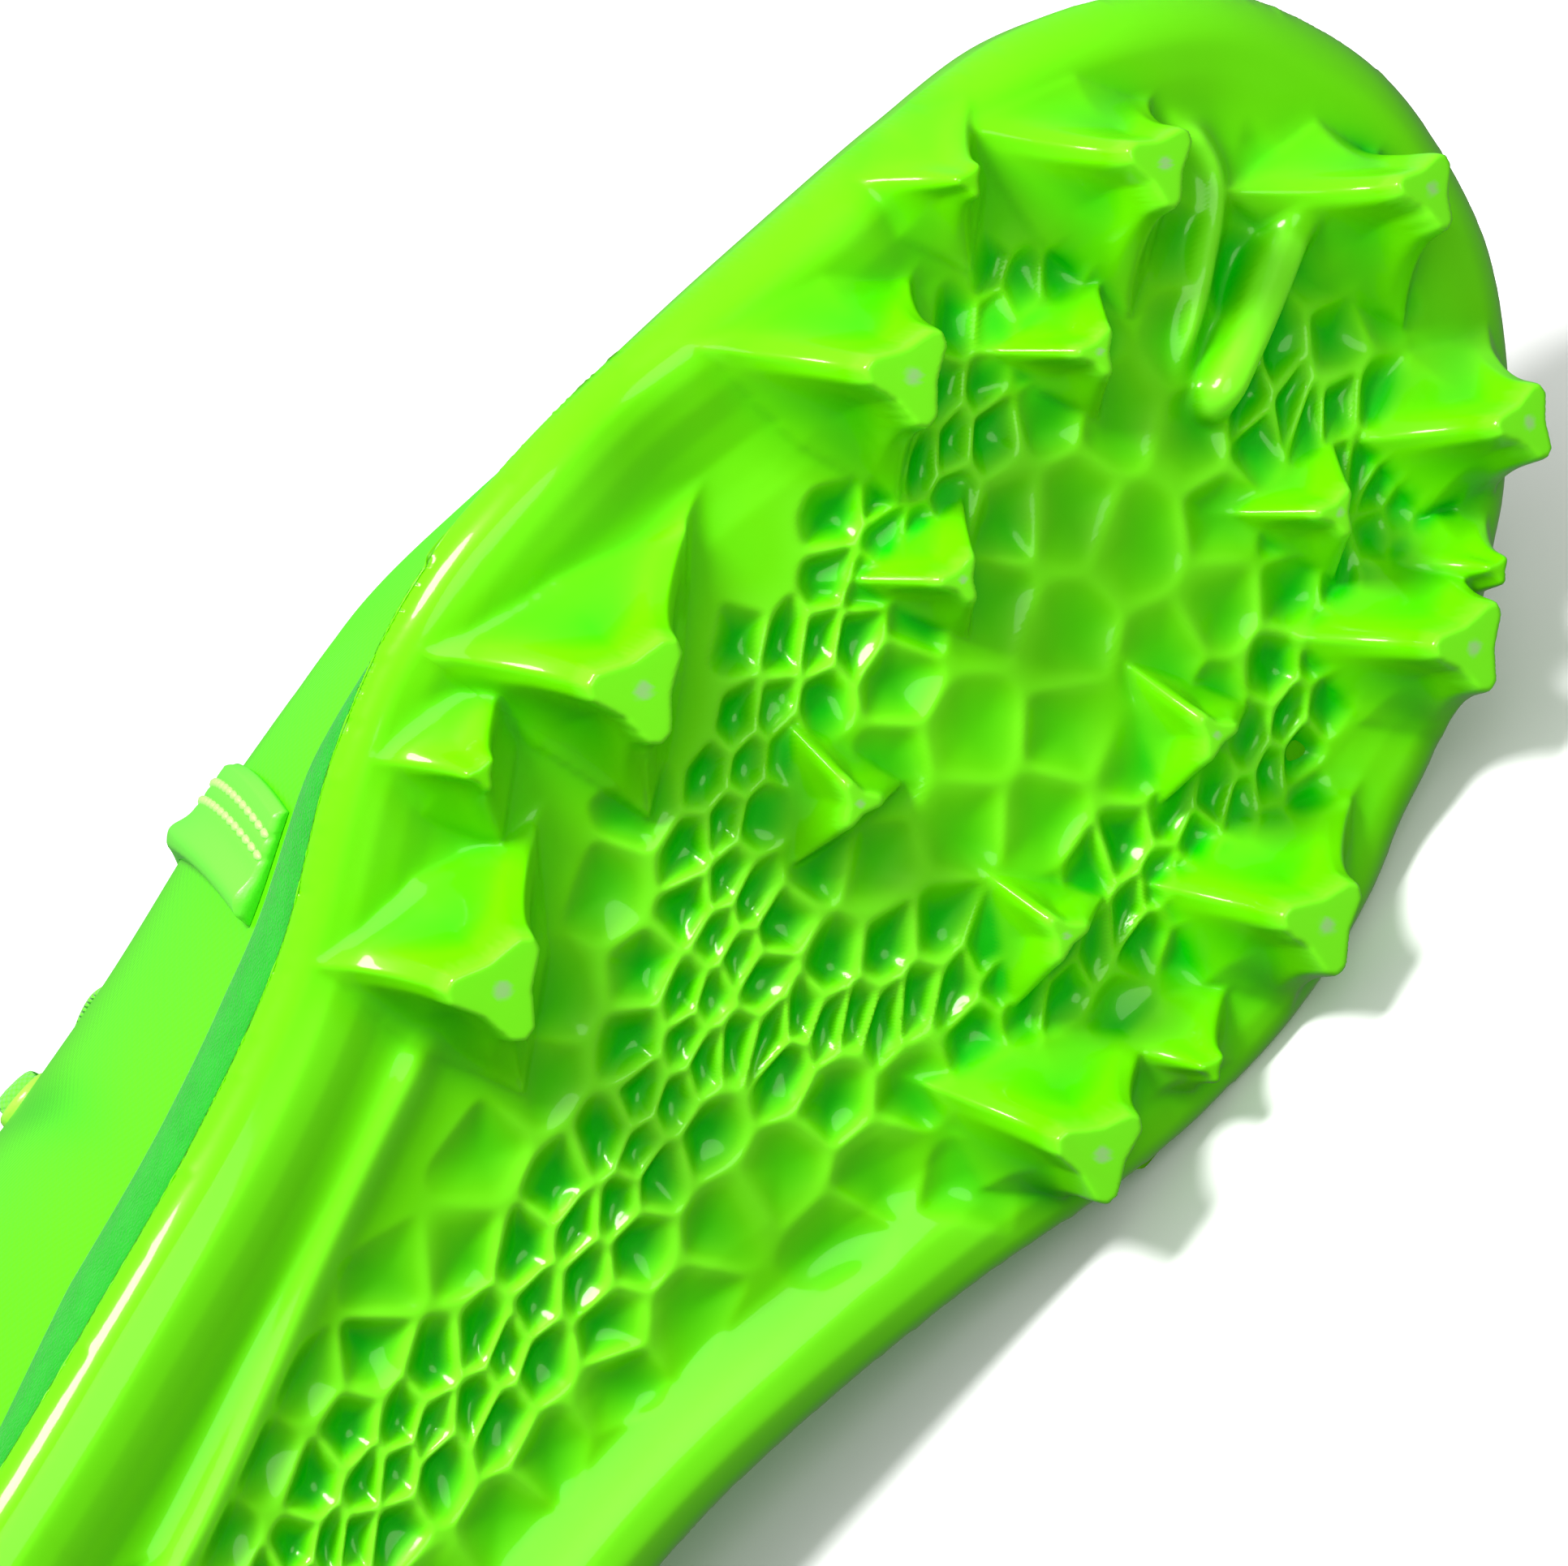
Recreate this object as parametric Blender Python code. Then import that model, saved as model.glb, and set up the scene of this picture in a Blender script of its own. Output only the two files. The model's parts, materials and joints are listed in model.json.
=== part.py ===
"""A right football cleat, lying on its inner (big-toe) side.

The shoe is modelled upright and then laid down. Upright, +X points to the outer side of the
foot, +Y to the toe and +Z up, and z = 0 is the plane of the ball's stud tips. Every layer is
made on a flat plate first and then follows the underside's curve, underside_height().
"""

from math import cos, pi, radians, sin

import bmesh
import bpy
import numpy as np
from mathutils import Matrix, Vector

# Main sizes, in metres
SHOE_LENGTH = 0.297
BALL_WIDTH = 0.104
HEEL_HEIGHT = 0.078
INSTEP_HEIGHT = 0.082
TOE_SPRING = 0.0138
FIT_GAP = 0.0003

# Outsole plate
PLATE_THICKNESS = 0.003
PLATE_EDGE_RADIUS = 0.0026
RIM_WALL = 0.002
BOARD_INSET = 0.0008
TOE_RIM_HEIGHT = 0.0115

# Studs: how far each kind stands out, and how far its arms reach at the root and at the tip
LARGE_STUD_HEIGHT = 0.012
LARGE_STUD_REACH = 0.0155
LARGE_STUD_TIP = 0.0060
SMALL_STUD_HEIGHT = 0.0065
SMALL_STUD_REACH = 0.0078
SMALL_STUD_TIP = 0.0026
EDGE_STUD_HEIGHT = 0.0072
EDGE_STUD_REACH = 0.0090
EDGE_STUD_TIP = 0.0012
STUD_ROOT_DEPTH = 0.0012

# Form of a stud's section: its valleys and the flanks of its arms, as shares of the reach at
# the root and at the tip, where an arm's shoulders lie, and how quickly arms and valleys
# sweep in from the plate
ROOT_VALLEY = 0.40
TIP_VALLEY = 0.52
ROOT_FLANK = 0.12
TIP_FLANK = 0.20
ARM_SHOULDER = 0.86
ARM_SWEEP = 2.0
VALLEY_SWEEP = 1.6

# Ribs moulded on the plate
RAIL_WIDTH = 0.0105
RAIL_HEIGHT = 0.0018
FLEX_RIB_WIDTH = 0.0034
FLEX_RIB_HEIGHT = 0.0026

# Layers over the plate
MIDSOLE_THICKNESS = 0.0035
RAND_HEIGHT = 0.0052
RAND_WALL = 0.0026
INSOLE_THICKNESS = 0.0026

# Upper and what is on it
UPPER_WALL = 0.0018
UPPER_TUCK = 0.0012
COLLAR_PADDING = 0.0040
SIDE_BULGE = 0.0050
OUTER_CROWN = 0.84
TONGUE_THICKNESS = 0.0035
TONGUE_STAND = 0.024
TONGUE_CROWN = 0.10
EYELET_DIAMETER = 0.0042
EYELET_INSET = 0.0085
EYELET_PAIRS = 6
EYELET_CUT = 0.004
LACE_DIAMETER = 0.0030
LACE_CLEARANCE = 0.0014
LACE_TURN = 0.25
OVERLAY_GAP = 0.0004
BAND_THICKNESS = 0.0012
BAND_WIDTH = 0.013
BAND_EDGE_LOSS = 0.45
COUNTER_THICKNESS = 0.0012

# How the shoe lies: turned about its length and about its height from flat on its side
LIE_ROLL = radians(-6.66)
LIE_YAW = radians(-3.48)

# Mesh density: stations along half of the outline, and rows up the side of the upper
HEEL_STATIONS = 8
THROAT_STATIONS = 20
TOE_STATIONS = 9
SIDE_ROWS = 8
RIB_ROWS = 13
RIB_SIDES = 7
TONGUE_ROWS = 11
BAND_ROWS = 9
BAND_ACROSS = 5
SEARCH_STEPS = 60

# Small steps: for reading a direction off a curve, for comparing shares and for welding
STEP = 0.004
EXACT = 1e-9
WELD = 1e-6

# Half outline of the plate, heel to toe, as shares of length and of ball width
OUTLINE_COLUMNS = ("along", "outer", "inner")
OUTLINE = (
    (0.000, 0.020, 0.020),
    (0.008, 0.139, -0.100),
    (0.027, 0.228, -0.190),
    (0.060, 0.305, -0.266),
    (0.112, 0.341, -0.303),
    (0.200, 0.345, -0.300),
    (0.300, 0.335, -0.278),
    (0.400, 0.348, -0.271),
    (0.470, 0.372, -0.281),
    (0.530, 0.418, -0.312),
    (0.590, 0.500, -0.358),
    (0.654, 0.544, -0.422),
    (0.700, 0.536, -0.455),
    (0.748, 0.507, -0.465),
    (0.808, 0.463, -0.444),
    (0.868, 0.411, -0.402),
    (0.916, 0.354, -0.348),
    (0.952, 0.276, -0.285),
    (0.980, 0.180, -0.205),
    (0.994, 0.082, -0.115),
    (1.000, -0.020, -0.020),
)

# Underside: rise over the ball as a share of TOE_SPRING
UNDERSIDE_COLUMNS = ("along", "rise")
UNDERSIDE = (
    (0.00, 0.20),
    (0.05, 0.07),
    (0.12, 0.02),
    (0.30, 0.20),
    (0.45, 0.38),
    (0.58, 0.17),
    (0.67, 0.00),
    (0.78, 0.04),
    (0.86, 0.19),
    (0.93, 0.49),
    (1.00, 1.00),
)

# Edge of the layers, by the share of the way round from heel to toe: height of the plate's
# rim and of the midsole's rand, as shares of TOE_RIM_HEIGHT and RAND_HEIGHT, and how far the
# board and upper are tucked in behind the rim, from 0 (flush with the plate) to 1
EDGE_COLUMNS = ("round", "rim", "rand", "tuck")
EDGE = (
    (0.00, 0.85, 0.00, 1.00),
    (0.16, 0.75, 0.00, 1.00),
    (0.24, 0.25, 0.00, 1.00),
    (0.29, 0.00, 0.00, 1.00),
    (0.35, 0.00, 0.55, 0.40),
    (0.41, 0.00, 1.00, 0.00),
    (0.50, 0.00, 1.00, 0.00),
    (0.56, 0.00, 0.70, 0.35),
    (0.62, 0.00, 0.12, 1.00),
    (0.67, 0.20, 0.00, 1.00),
    (0.74, 0.45, 0.00, 1.00),
    (0.84, 0.75, 0.00, 1.00),
    (1.00, 1.00, 0.00, 1.00),
)
RIM_GAP = (0.29, 0.63)

# Upper, a row for each section round from heel to toe: along, centre and half place the top
# line or, past the throat, the ridge of the toe box; heel_part and instep_part give its
# height as shares of HEEL_HEIGHT and INSTEP_HEIGHT; crown says how far the top runs out
# level, drop how far it comes down first, and bulge how full the side is
UPPER_COLUMNS = (
    "round",
    "along",
    "centre",
    "half",
    "heel_part",
    "instep_part",
    "crown",
    "drop",
    "bulge",
)
UPPER = (
    (0.00, 0.030, 0.020, 0.000, 1.00, 0.000, 0.00, 0.36, 1.30),
    (0.06, 0.042, 0.020, 0.120, 0.985, 0.000, 0.00, 0.36, 1.25),
    (0.12, 0.076, 0.020, 0.220, 0.945, 0.000, 0.00, 0.36, 1.10),
    (0.20, 0.150, 0.020, 0.305, 0.85, 0.000, 0.02, 0.36, 0.90),
    (0.30, 0.250, 0.018, 0.320, 0.77, 0.000, 0.05, 0.34, 0.70),
    (0.38, 0.330, 0.012, 0.290, 0.60, 0.200, 0.10, 0.30, 0.70),
    (0.45, 0.405, 0.005, 0.225, 0.15, 0.770, 0.22, 0.24, 0.80),
    (0.50, 0.452, 0.000, 0.175, 0.00, 1.000, 0.30, 0.20, 0.90),
    (0.58, 0.530, -0.006, 0.150, 0.00, 0.890, 0.40, 0.12, 0.90),
    (0.66, 0.602, -0.012, 0.130, 0.00, 0.780, 0.46, 0.06, 0.80),
    (0.73, 0.660, -0.017, 0.095, 0.00, 0.680, 0.50, 0.02, 0.70),
    (0.78, 0.694, -0.020, 0.000, 0.00, 0.620, 0.52, 0.00, 0.60),
    (0.86, 0.760, -0.022, 0.000, 0.00, 0.540, 0.55, 0.03, 0.55),
    (0.93, 0.822, -0.022, 0.000, 0.00, 0.478, 0.57, 0.08, 0.50),
    (1.00, 0.870, -0.020, 0.000, 0.00, 0.435, 0.60, 0.17, 0.45),
)
HEEL_END = 0.20
THROAT_END = 0.78

# Share of the collar's padding, by the way round and by the way up
PADDING_ROUND = ((0.44, 1.0), (0.52, 0.0))
PADDING_UP = ((0.62, 0.0), (0.82, 1.0), (0.95, 1.0), (1.0, 0.83))

# Studs: place as shares of length and ball width, turn in degrees, the reach of the outer,
# toe and inner arm as shares of the kind's reach, and the tip as a share of the kind's tip
STUD_COLUMNS = ("kind", "along", "across", "turn", "outer_arm", "toe_arm", "inner_arm", "tip")
STUDS = (
    ("large", 0.896, 0.228, 8, 1.06, 0.62, 0.96, 0.78),
    ("large", 0.950, -0.036, -2, 1.04, 0.42, 0.84, 0.76),
    ("large", 0.791, 0.326, 0, 1.10, 0.66, 0.92, 0.92),
    ("large", 0.662, 0.362, -3, 1.10, 1.06, 1.06, 1.00),
    ("large", 0.563, 0.286, -8, 0.92, 0.94, 1.00, 1.00),
    ("large", 0.915, -0.250, -12, 0.76, 0.72, 0.50, 0.74),
    ("large", 0.847, -0.323, -4, 0.86, 0.70, 0.72, 0.84),
    ("large", 0.746, -0.356, 5, 0.84, 0.94, 0.68, 0.92),
    ("large", 0.645, -0.305, 10, 0.94, 0.88, 0.50, 0.92),
    ("large", 0.245, 0.205, -4, 0.90, 0.85, 0.85, 0.95),
    ("large", 0.095, 0.185, -8, 0.80, 0.85, 0.85, 0.95),
    ("large", 0.245, -0.170, 4, 0.85, 0.85, 0.85, 0.95),
    ("large", 0.095, -0.145, 8, 0.85, 0.85, 0.78, 0.95),
    ("small", 0.843, 0.154, -8, 1.00, 1.00, 1.00, 1.00),
    ("small", 0.757, 0.139, -12, 1.00, 1.00, 1.00, 1.00),
    ("small", 0.681, 0.091, 48, 1.00, 1.00, 1.00, 1.00),
    ("small", 0.857, -0.152, -8, 1.00, 1.00, 1.00, 1.00),
    ("small", 0.774, -0.173, 38, 1.15, 1.00, 1.00, 1.00),
    ("small", 0.692, -0.165, 35, 1.00, 1.00, 1.10, 1.00),
    ("edge", 0.855, 0.366, -6, 0.72, 0.90, 0.95, 1.00),
    ("edge", 0.608, 0.410, -10, 0.80, 0.90, 1.00, 1.00),
    ("edge", 0.880, -0.330, 0, 0.80, 0.70, 0.45, 1.00),
    ("edge", 0.692, -0.375, 0, 0.85, 0.85, 0.50, 1.00),
    ("edge", 0.170, 0.262, 0, 0.60, 0.80, 0.80, 1.00),
    ("edge", 0.170, -0.226, 0, 0.80, 0.80, 0.60, 1.00),
)
STUD_KIND_COLUMNS = ("height", "reach", "tip", "levels")
STUD_KINDS = {
    "large": (LARGE_STUD_HEIGHT, LARGE_STUD_REACH, LARGE_STUD_TIP, (0.0, 0.20, 0.52, 1.0)),
    "small": (SMALL_STUD_HEIGHT, SMALL_STUD_REACH, SMALL_STUD_TIP, (0.0, 0.30, 1.0)),
    "edge": (EDGE_STUD_HEIGHT, EDGE_STUD_REACH, EDGE_STUD_TIP, (0.0, 0.30, 1.0)),
}

# Ribs: the line that each follows, as shares of length and ball width, and how full it is
# there, down to RIB_END where it runs out
RIB_END = 0.15
RIB_COLUMNS = ("along", "across", "swell")
OUTER_RAIL = (
    (0.120, 0.245, 0.00),
    (0.200, 0.262, 0.75),
    (0.320, 0.262, 1.00),
    (0.420, 0.275, 1.00),
    (0.500, 0.305, 0.90),
    (0.560, 0.345, 0.00),
)
INNER_RAIL = (
    (0.120, -0.205, 0.00),
    (0.200, -0.220, 0.75),
    (0.320, -0.205, 1.00),
    (0.420, -0.200, 1.00),
    (0.520, -0.235, 1.00),
    (0.620, -0.320, 0.00),
)
FLEX_RIB = (
    (0.862, -0.013, 0.00),
    (0.885, -0.012, 1.00),
    (0.915, -0.010, 1.00),
    (0.940, -0.009, 0.00),
)

# Overlays on the upper: the line each edge follows, as shares of the way round and up
BAND_COLUMNS = ("up", "round")
OUTER_BAND = ((0.03, 0.535), (0.35, 0.560), (0.62, 0.585), (0.80, 0.598))
INNER_BAND = ((0.03, 0.500), (0.35, 0.520), (0.62, 0.555), (0.80, 0.580))
COUNTER_EDGE = ((0.08, 0.310), (0.25, 0.360), (0.42, 0.415), (0.55, 0.425), (0.68, 0.370))

# Tongue: where it starts under the vamp and leaves the throat, as shares of the way round,
# the shares of the way up that its edges reach, how far ahead of the collar's padding it
# dips to clear it, and its free top, with the share of its length, its lean back over the
# level in degrees and its width as a share at each row
TONGUE_SPAN = (0.80, 0.50)
TONGUE_UPS = (0.70, 0.85, 1.0)
TONGUE_AHEAD = 0.08
TONGUE_TOP_COLUMNS = ("part", "lean", "width")
TONGUE_TOP = (
    (0.35, 20, 0.74),
    (0.70, 35, 0.64),
    (1.00, 50, 0.46),
)
EYELET_SPAN = (0.505, 0.745)

OUTER = 1
INNER = -1
SHARP_ANGLE = radians(35)


def table_column(table, columns, name):
    """One named column of a table, as an array."""
    place = columns.index(name)
    return np.array([row[place] for row in table], float)


def smooth_through(knots, values, wanted):
    """Reads a smooth curve through the rows: each row's slope comes from its neighbours."""
    knots, values = np.asarray(knots, float), np.asarray(values, float)
    wanted = np.clip(np.asarray(wanted, float), knots[0], knots[-1])
    slopes = np.gradient(values, knots)
    low = np.clip(np.searchsorted(knots, wanted) - 1, 0, len(knots) - 2)
    span = knots[low + 1] - knots[low]
    part = (wanted - knots[low]) / span
    start, end = values[low], values[low + 1]
    start_slope, end_slope = slopes[low] * span, slopes[low + 1] * span
    square, cube = part**2, part**3
    return (
        (2 * cube - 3 * square + 1) * start
        + (cube - 2 * square + part) * start_slope
        + (3 * square - 2 * cube) * end
        + (cube - square) * end_slope
    )


def read_table(table, columns, name, wanted):
    """A column read smoothly at places in the table's first column."""
    knots = table_column(table, columns, columns[0])
    return smooth_through(knots, table_column(table, columns, name), wanted)


def read_pairs(pairs, wanted):
    """A list of places and values, read in straight lines."""
    places, values = zip(*pairs)
    return np.interp(wanted, places, values)


def closed_outline():
    """The plate's outline as a closed loop of rows, outer side from heel to toe and back."""
    along = table_column(OUTLINE, OUTLINE_COLUMNS, "along") * SHOE_LENGTH
    outer = table_column(OUTLINE, OUTLINE_COLUMNS, "outer") * BALL_WIDTH
    inner = table_column(OUTLINE, OUTLINE_COLUMNS, "inner") * BALL_WIDTH
    steps = (np.hypot(np.diff(along), np.diff(outer)) + np.hypot(np.diff(along), np.diff(inner))) / 2
    rounds = np.concatenate([[0], np.cumsum(steps)]) / steps.sum()
    loop_rounds = np.concatenate([rounds, 2 - rounds[-2:0:-1]])
    loop_x = np.concatenate([outer, inner[-2:0:-1]])
    loop_y = np.concatenate([along, along[-2:0:-1]])
    before, after = slice(-3, None), slice(0, 4)
    knots = np.concatenate([loop_rounds[before] - 2, loop_rounds, loop_rounds[after] + 2])
    xs = np.concatenate([loop_x[before], loop_x, loop_x[after]])
    ys = np.concatenate([loop_y[before], loop_y, loop_y[after]])
    return knots, xs, ys, steps.sum()


*OUTLINE_LOOP, HALF_ROUND_LENGTH = closed_outline()


def outline_at(side, rounds, inset=0.0):
    """Points and outward directions on the outline, moved in by inset."""
    knots, xs, ys = OUTLINE_LOOP
    rounds = np.asarray(rounds, float)
    places = rounds if side == OUTER else 2 - rounds
    x, y = smooth_through(knots, xs, places), smooth_through(knots, ys, places)
    run_x = smooth_through(knots, xs, places + STEP) - smooth_through(knots, xs, places - STEP)
    run_y = smooth_through(knots, ys, places + STEP) - smooth_through(knots, ys, places - STEP)
    length = np.hypot(run_x, run_y)
    out = np.stack([run_y / length, -run_x / length], axis=-1)
    return np.stack([x, y], axis=-1) - out * np.asarray(inset)[..., None], out


def underside_height(y):
    """Height of the plate's underside over the ground at a distance from the heel."""
    rise = read_table(UNDERSIDE, UNDERSIDE_COLUMNS, "rise", np.asarray(y) / SHOE_LENGTH)
    return LARGE_STUD_HEIGHT + TOE_SPRING * rise


def follow_underside(points):
    """Moves points of a flat layer up to the underside's curve."""
    points = np.array(points, float)
    points[..., 2] += underside_height(points[..., 1])
    return points


STATIONS = np.concatenate(
    [
        np.linspace(0, HEEL_END, HEEL_STATIONS + 1)[:-1],
        np.linspace(HEEL_END, THROAT_END, THROAT_STATIONS + 1),
        np.linspace(THROAT_END, 1, TOE_STATIONS + 1)[1:],
    ]
)


def rim_rise(rounds):
    """Height of the plate's rim over its floor."""
    rise = np.clip(read_table(EDGE, EDGE_COLUMNS, "rim", rounds), 0, 1) * TOE_RIM_HEIGHT
    return np.where((rounds > RIM_GAP[0]) & (rounds < RIM_GAP[1]), 0.0, rise)


def rand_rise(rounds):
    """Height of the rand over the midsole's floor."""
    return np.clip(read_table(EDGE, EDGE_COLUMNS, "rand", rounds), 0, 1) * RAND_HEIGHT


def board_inset(rounds):
    """How far the midsole's edge lies in from the plate's outline."""
    tuck = np.clip(read_table(EDGE, EDGE_COLUMNS, "tuck", rounds), 0, 1)
    return BOARD_INSET + (RIM_WALL + FIT_GAP) * tuck


RIM_RISE = rim_rise(STATIONS)
MIDSOLE_INSET = board_inset(STATIONS)
MIDSOLE_BASE = PLATE_THICKNESS + FIT_GAP
MIDSOLE_TOP = MIDSOLE_BASE + MIDSOLE_THICKNESS


def ring(inset, height):
    """A ring of points round the outline: outer stations heel to toe, then inner ones back."""
    insets = np.broadcast_to(inset, (2, len(STATIONS)))
    height = np.broadcast_to(height, STATIONS.shape)
    outer = np.column_stack([outline_at(OUTER, STATIONS, insets[0])[0], height])
    inner = np.column_stack([outline_at(INNER, STATIONS, insets[1])[0], height])
    return follow_underside(np.concatenate([outer, inner[-2:0:-1]]))


def weld(mesh):
    """Joins points that coincide and turns the faces outward."""
    model = bmesh.new()
    model.from_mesh(mesh)
    bmesh.ops.remove_doubles(model, verts=model.verts, dist=WELD)
    bmesh.ops.recalc_face_normals(model, faces=model.faces)
    model.to_mesh(mesh)
    model.free()


def new_object(name, points, faces, collection):
    """An object from points in metres and faces, with its normals facing out."""
    mesh = bpy.data.meshes.new(name)
    mesh.from_pydata([tuple(point) for point in np.asarray(points, float)], [], faces)
    weld(mesh)
    made = bpy.data.objects.new(name, mesh)
    collection.objects.link(made)
    return made


def crossing_faces(first, stations):
    """Fills a ring with faces that cross it from the outer side to the inner side."""
    count = 2 * (stations - 1)
    faces = [(first, first + 1, first + count - 1)]
    for k in range(1, stations - 2):
        faces.append((first + k, first + k + 1, first + count - k - 1, first + count - k))
    last = stations - 2
    faces.append((first + last, first + last + 1, first + count - last))
    return faces


def ring_faces(levels, count):
    """The walls between rings of points that lie one after the other."""
    faces = []
    for low in range(0, (levels - 1) * count, count):
        high = low + count
        for k in range(count):
            following = (k + 1) % count
            faces.append((low + k, low + following, high + following, high + k))
    return faces


def stack_of_rings(name, rings, collection):
    """A closed layer lofted through rings round the outline, filled across at both ends."""
    points = np.concatenate(rings)
    count = len(rings[0])
    faces = ring_faces(len(rings), count)
    faces += crossing_faces(0, len(STATIONS))
    faces += crossing_faces((len(rings) - 1) * count, len(STATIONS))
    return new_object(name, points, faces, collection)


def capped_loft(name, rings, collection):
    """A closed solid lofted through rings of the same count, with a flat face at each end."""
    count, levels = len(rings[0]), len(rings)
    faces = ring_faces(levels, count)
    faces.append(tuple(range(count)))
    faces.append(tuple(range((levels - 1) * count, levels * count)))
    return new_object(name, [point for level in rings for point in level], faces, collection)


def rim_insets():
    """How far in the rim's inner top edge lies at each station, so that it hugs the upper."""
    insets = []
    for side in (OUTER, INNER):
        for share, rise in zip(STATIONS, RIM_RISE):
            ups = np.linspace(0, 1, SEARCH_STEPS)
            line = upper_face(side, np.full(ups.shape, share), ups)
            edge, out = outline_at(side, share)
            depths = (edge - line[:, :2]) @ out
            heights = line[:, 2] - underside_height(line[:, 1])
            hug = np.interp(PLATE_THICKNESS + rise, heights, depths) - 2 * FIT_GAP
            over_board = max(1, rise / (MIDSOLE_TOP - PLATE_THICKNESS))
            clear_of_board = RIM_WALL + BOARD_INSET * over_board
            insets.append(min(hug, clear_of_board) if rise > 0 else RIM_WALL)
    return np.reshape(insets, (2, len(STATIONS)))


def make_plate(collection):
    """The plate: a floor with a rounded lower edge and a thin rim round heel and forefoot."""
    rim_top = PLATE_THICKNESS + RIM_RISE
    inner_top = rim_insets()
    rounding = PLATE_EDGE_RADIUS * (1 - cos(pi / 4))
    rings = [
        ring(PLATE_EDGE_RADIUS, 0.0),
        ring(rounding, rounding),
        ring(0.0, PLATE_EDGE_RADIUS),
        ring(inner_top - RIM_WALL, rim_top),
        ring(inner_top, rim_top),
        ring(RIM_WALL, PLATE_THICKNESS),
    ]
    return stack_of_rings("outsole", rings, collection)


def stud_axes(y):
    """The direction along the plate to the toe and the direction out of it, at a stud."""
    step = STEP * SHOE_LENGTH
    slope = (underside_height(y + step) - underside_height(y - step)) / (2 * step)
    return Vector((0, 1, slope)).normalized(), Vector((0, slope, -1)).normalized()


def star_section(reaches, turn, valley, flank):
    """A three-armed star: for each arm two shoulders and its end, and a valley between."""
    points = []
    for number, reach in enumerate(reaches):
        heading = radians(turn - 30 + 120 * number)
        ahead = Vector((cos(heading), sin(heading)))
        aside = Vector((-sin(heading), cos(heading)))
        between = heading + pi / 3
        points.append(ahead * reach * ARM_SHOULDER - aside * flank)
        points.append(ahead * reach)
        points.append(ahead * reach * ARM_SHOULDER + aside * flank)
        points.append(Vector((cos(between), sin(between))) * valley)
    return points


def swept(root, tip, share, sweep):
    """A size that runs from its root value to its tip value, quickly at first."""
    return tip + (root - tip) * (1 - share) ** sweep


def make_stud(number, row, collection):
    """A stud with three swept arms that flare into the plate and meet at a flat tip."""
    stud = dict(zip(STUD_COLUMNS, row))
    kind = dict(zip(STUD_KIND_COLUMNS, STUD_KINDS[stud["kind"]]))
    arms = [kind["reach"] * stud[name] for name in ("outer_arm", "toe_arm", "inner_arm")]
    tip = kind["tip"] * stud["tip"]
    y = stud["along"] * SHOE_LENGTH
    root = Vector((stud["across"] * BALL_WIDTH, y, float(underside_height(y))))
    ahead, out = stud_axes(y)
    rings = []
    for share in (0.0, *kind["levels"]):
        reaches = [swept(arm, tip, share, ARM_SWEEP) for arm in arms]
        valley = swept(kind["reach"] * ROOT_VALLEY, tip * TIP_VALLEY, share, VALLEY_SWEEP)
        flank = swept(kind["reach"] * ROOT_FLANK, tip * TIP_FLANK, share, 1)
        height = kind["height"] * share if rings else -STUD_ROOT_DEPTH
        star = star_section(reaches, stud["turn"], valley, flank)
        rings.append([root + Vector((a, 0, 0)) + ahead * b + out * height for a, b in star])
    return capped_loft(f"stud_{number:02d}", rings, collection)


def make_rib(name, line, width, height, collection):
    """A rounded rib that follows a line on the plate and runs out at both ends."""
    along = table_column(line, RIB_COLUMNS, "along")
    places = np.linspace(along[0], along[-1], RIB_ROWS)
    across = read_table(line, RIB_COLUMNS, "across", places) * BALL_WIDTH
    swell = np.clip(read_table(line, RIB_COLUMNS, "swell", places), RIB_END, 1)
    angles = np.linspace(0, pi, RIB_SIDES)
    rings = []
    for y, x, size in zip(places * SHOE_LENGTH, across, swell):
        half = width * size / 2
        section = [(x + cos(angle) * half, y, -sin(angle) * height * size) for angle in angles]
        section += [(x - half, y, PLATE_THICKNESS / 3), (x + half, y, PLATE_THICKNESS / 3)]
        rings.append(follow_underside(section))
    return capped_loft(name, rings, collection)


def join_all(target, others, operation="UNION"):
    """Joins or cuts pieces with one Boolean each and removes what was used."""
    for other in others:
        change = target.modifiers.new(other.name, "BOOLEAN")
        change.operation = operation
        change.solver = "EXACT"
        change.object = other
    bpy.context.view_layer.update()
    graph = bpy.context.evaluated_depsgraph_get()
    result = bpy.data.meshes.new_from_object(target.evaluated_get(graph))
    target.modifiers.clear()
    target.data = result
    result.name = target.name
    for other in others:
        bpy.data.objects.remove(other)


def make_outsole(collection):
    """The whole moulding: plate, studs, waist rails and flex rib in one body."""
    plate = make_plate(collection)
    additions = [make_stud(number, row, collection) for number, row in enumerate(STUDS)]
    additions.append(make_rib("outer_rail", OUTER_RAIL, RAIL_WIDTH, RAIL_HEIGHT, collection))
    additions.append(make_rib("inner_rail", INNER_RAIL, RAIL_WIDTH, RAIL_HEIGHT, collection))
    additions.append(make_rib("flex_rib", FLEX_RIB, FLEX_RIB_WIDTH, FLEX_RIB_HEIGHT, collection))
    join_all(plate, additions)
    return plate


def make_midsole(collection):
    """The board under the foot, whose edge rises as a rand along the waist."""
    edge_top = MIDSOLE_TOP + rand_rise(STATIONS)
    rings = [
        ring(MIDSOLE_INSET + BOARD_INSET, MIDSOLE_BASE),
        ring(MIDSOLE_INSET, MIDSOLE_BASE + MIDSOLE_THICKNESS / 3),
        ring(MIDSOLE_INSET, edge_top),
        ring(MIDSOLE_INSET + RAND_WALL, edge_top),
        ring(MIDSOLE_INSET + RAND_WALL, MIDSOLE_TOP),
    ]
    return stack_of_rings("midsole", rings, collection)


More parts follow.
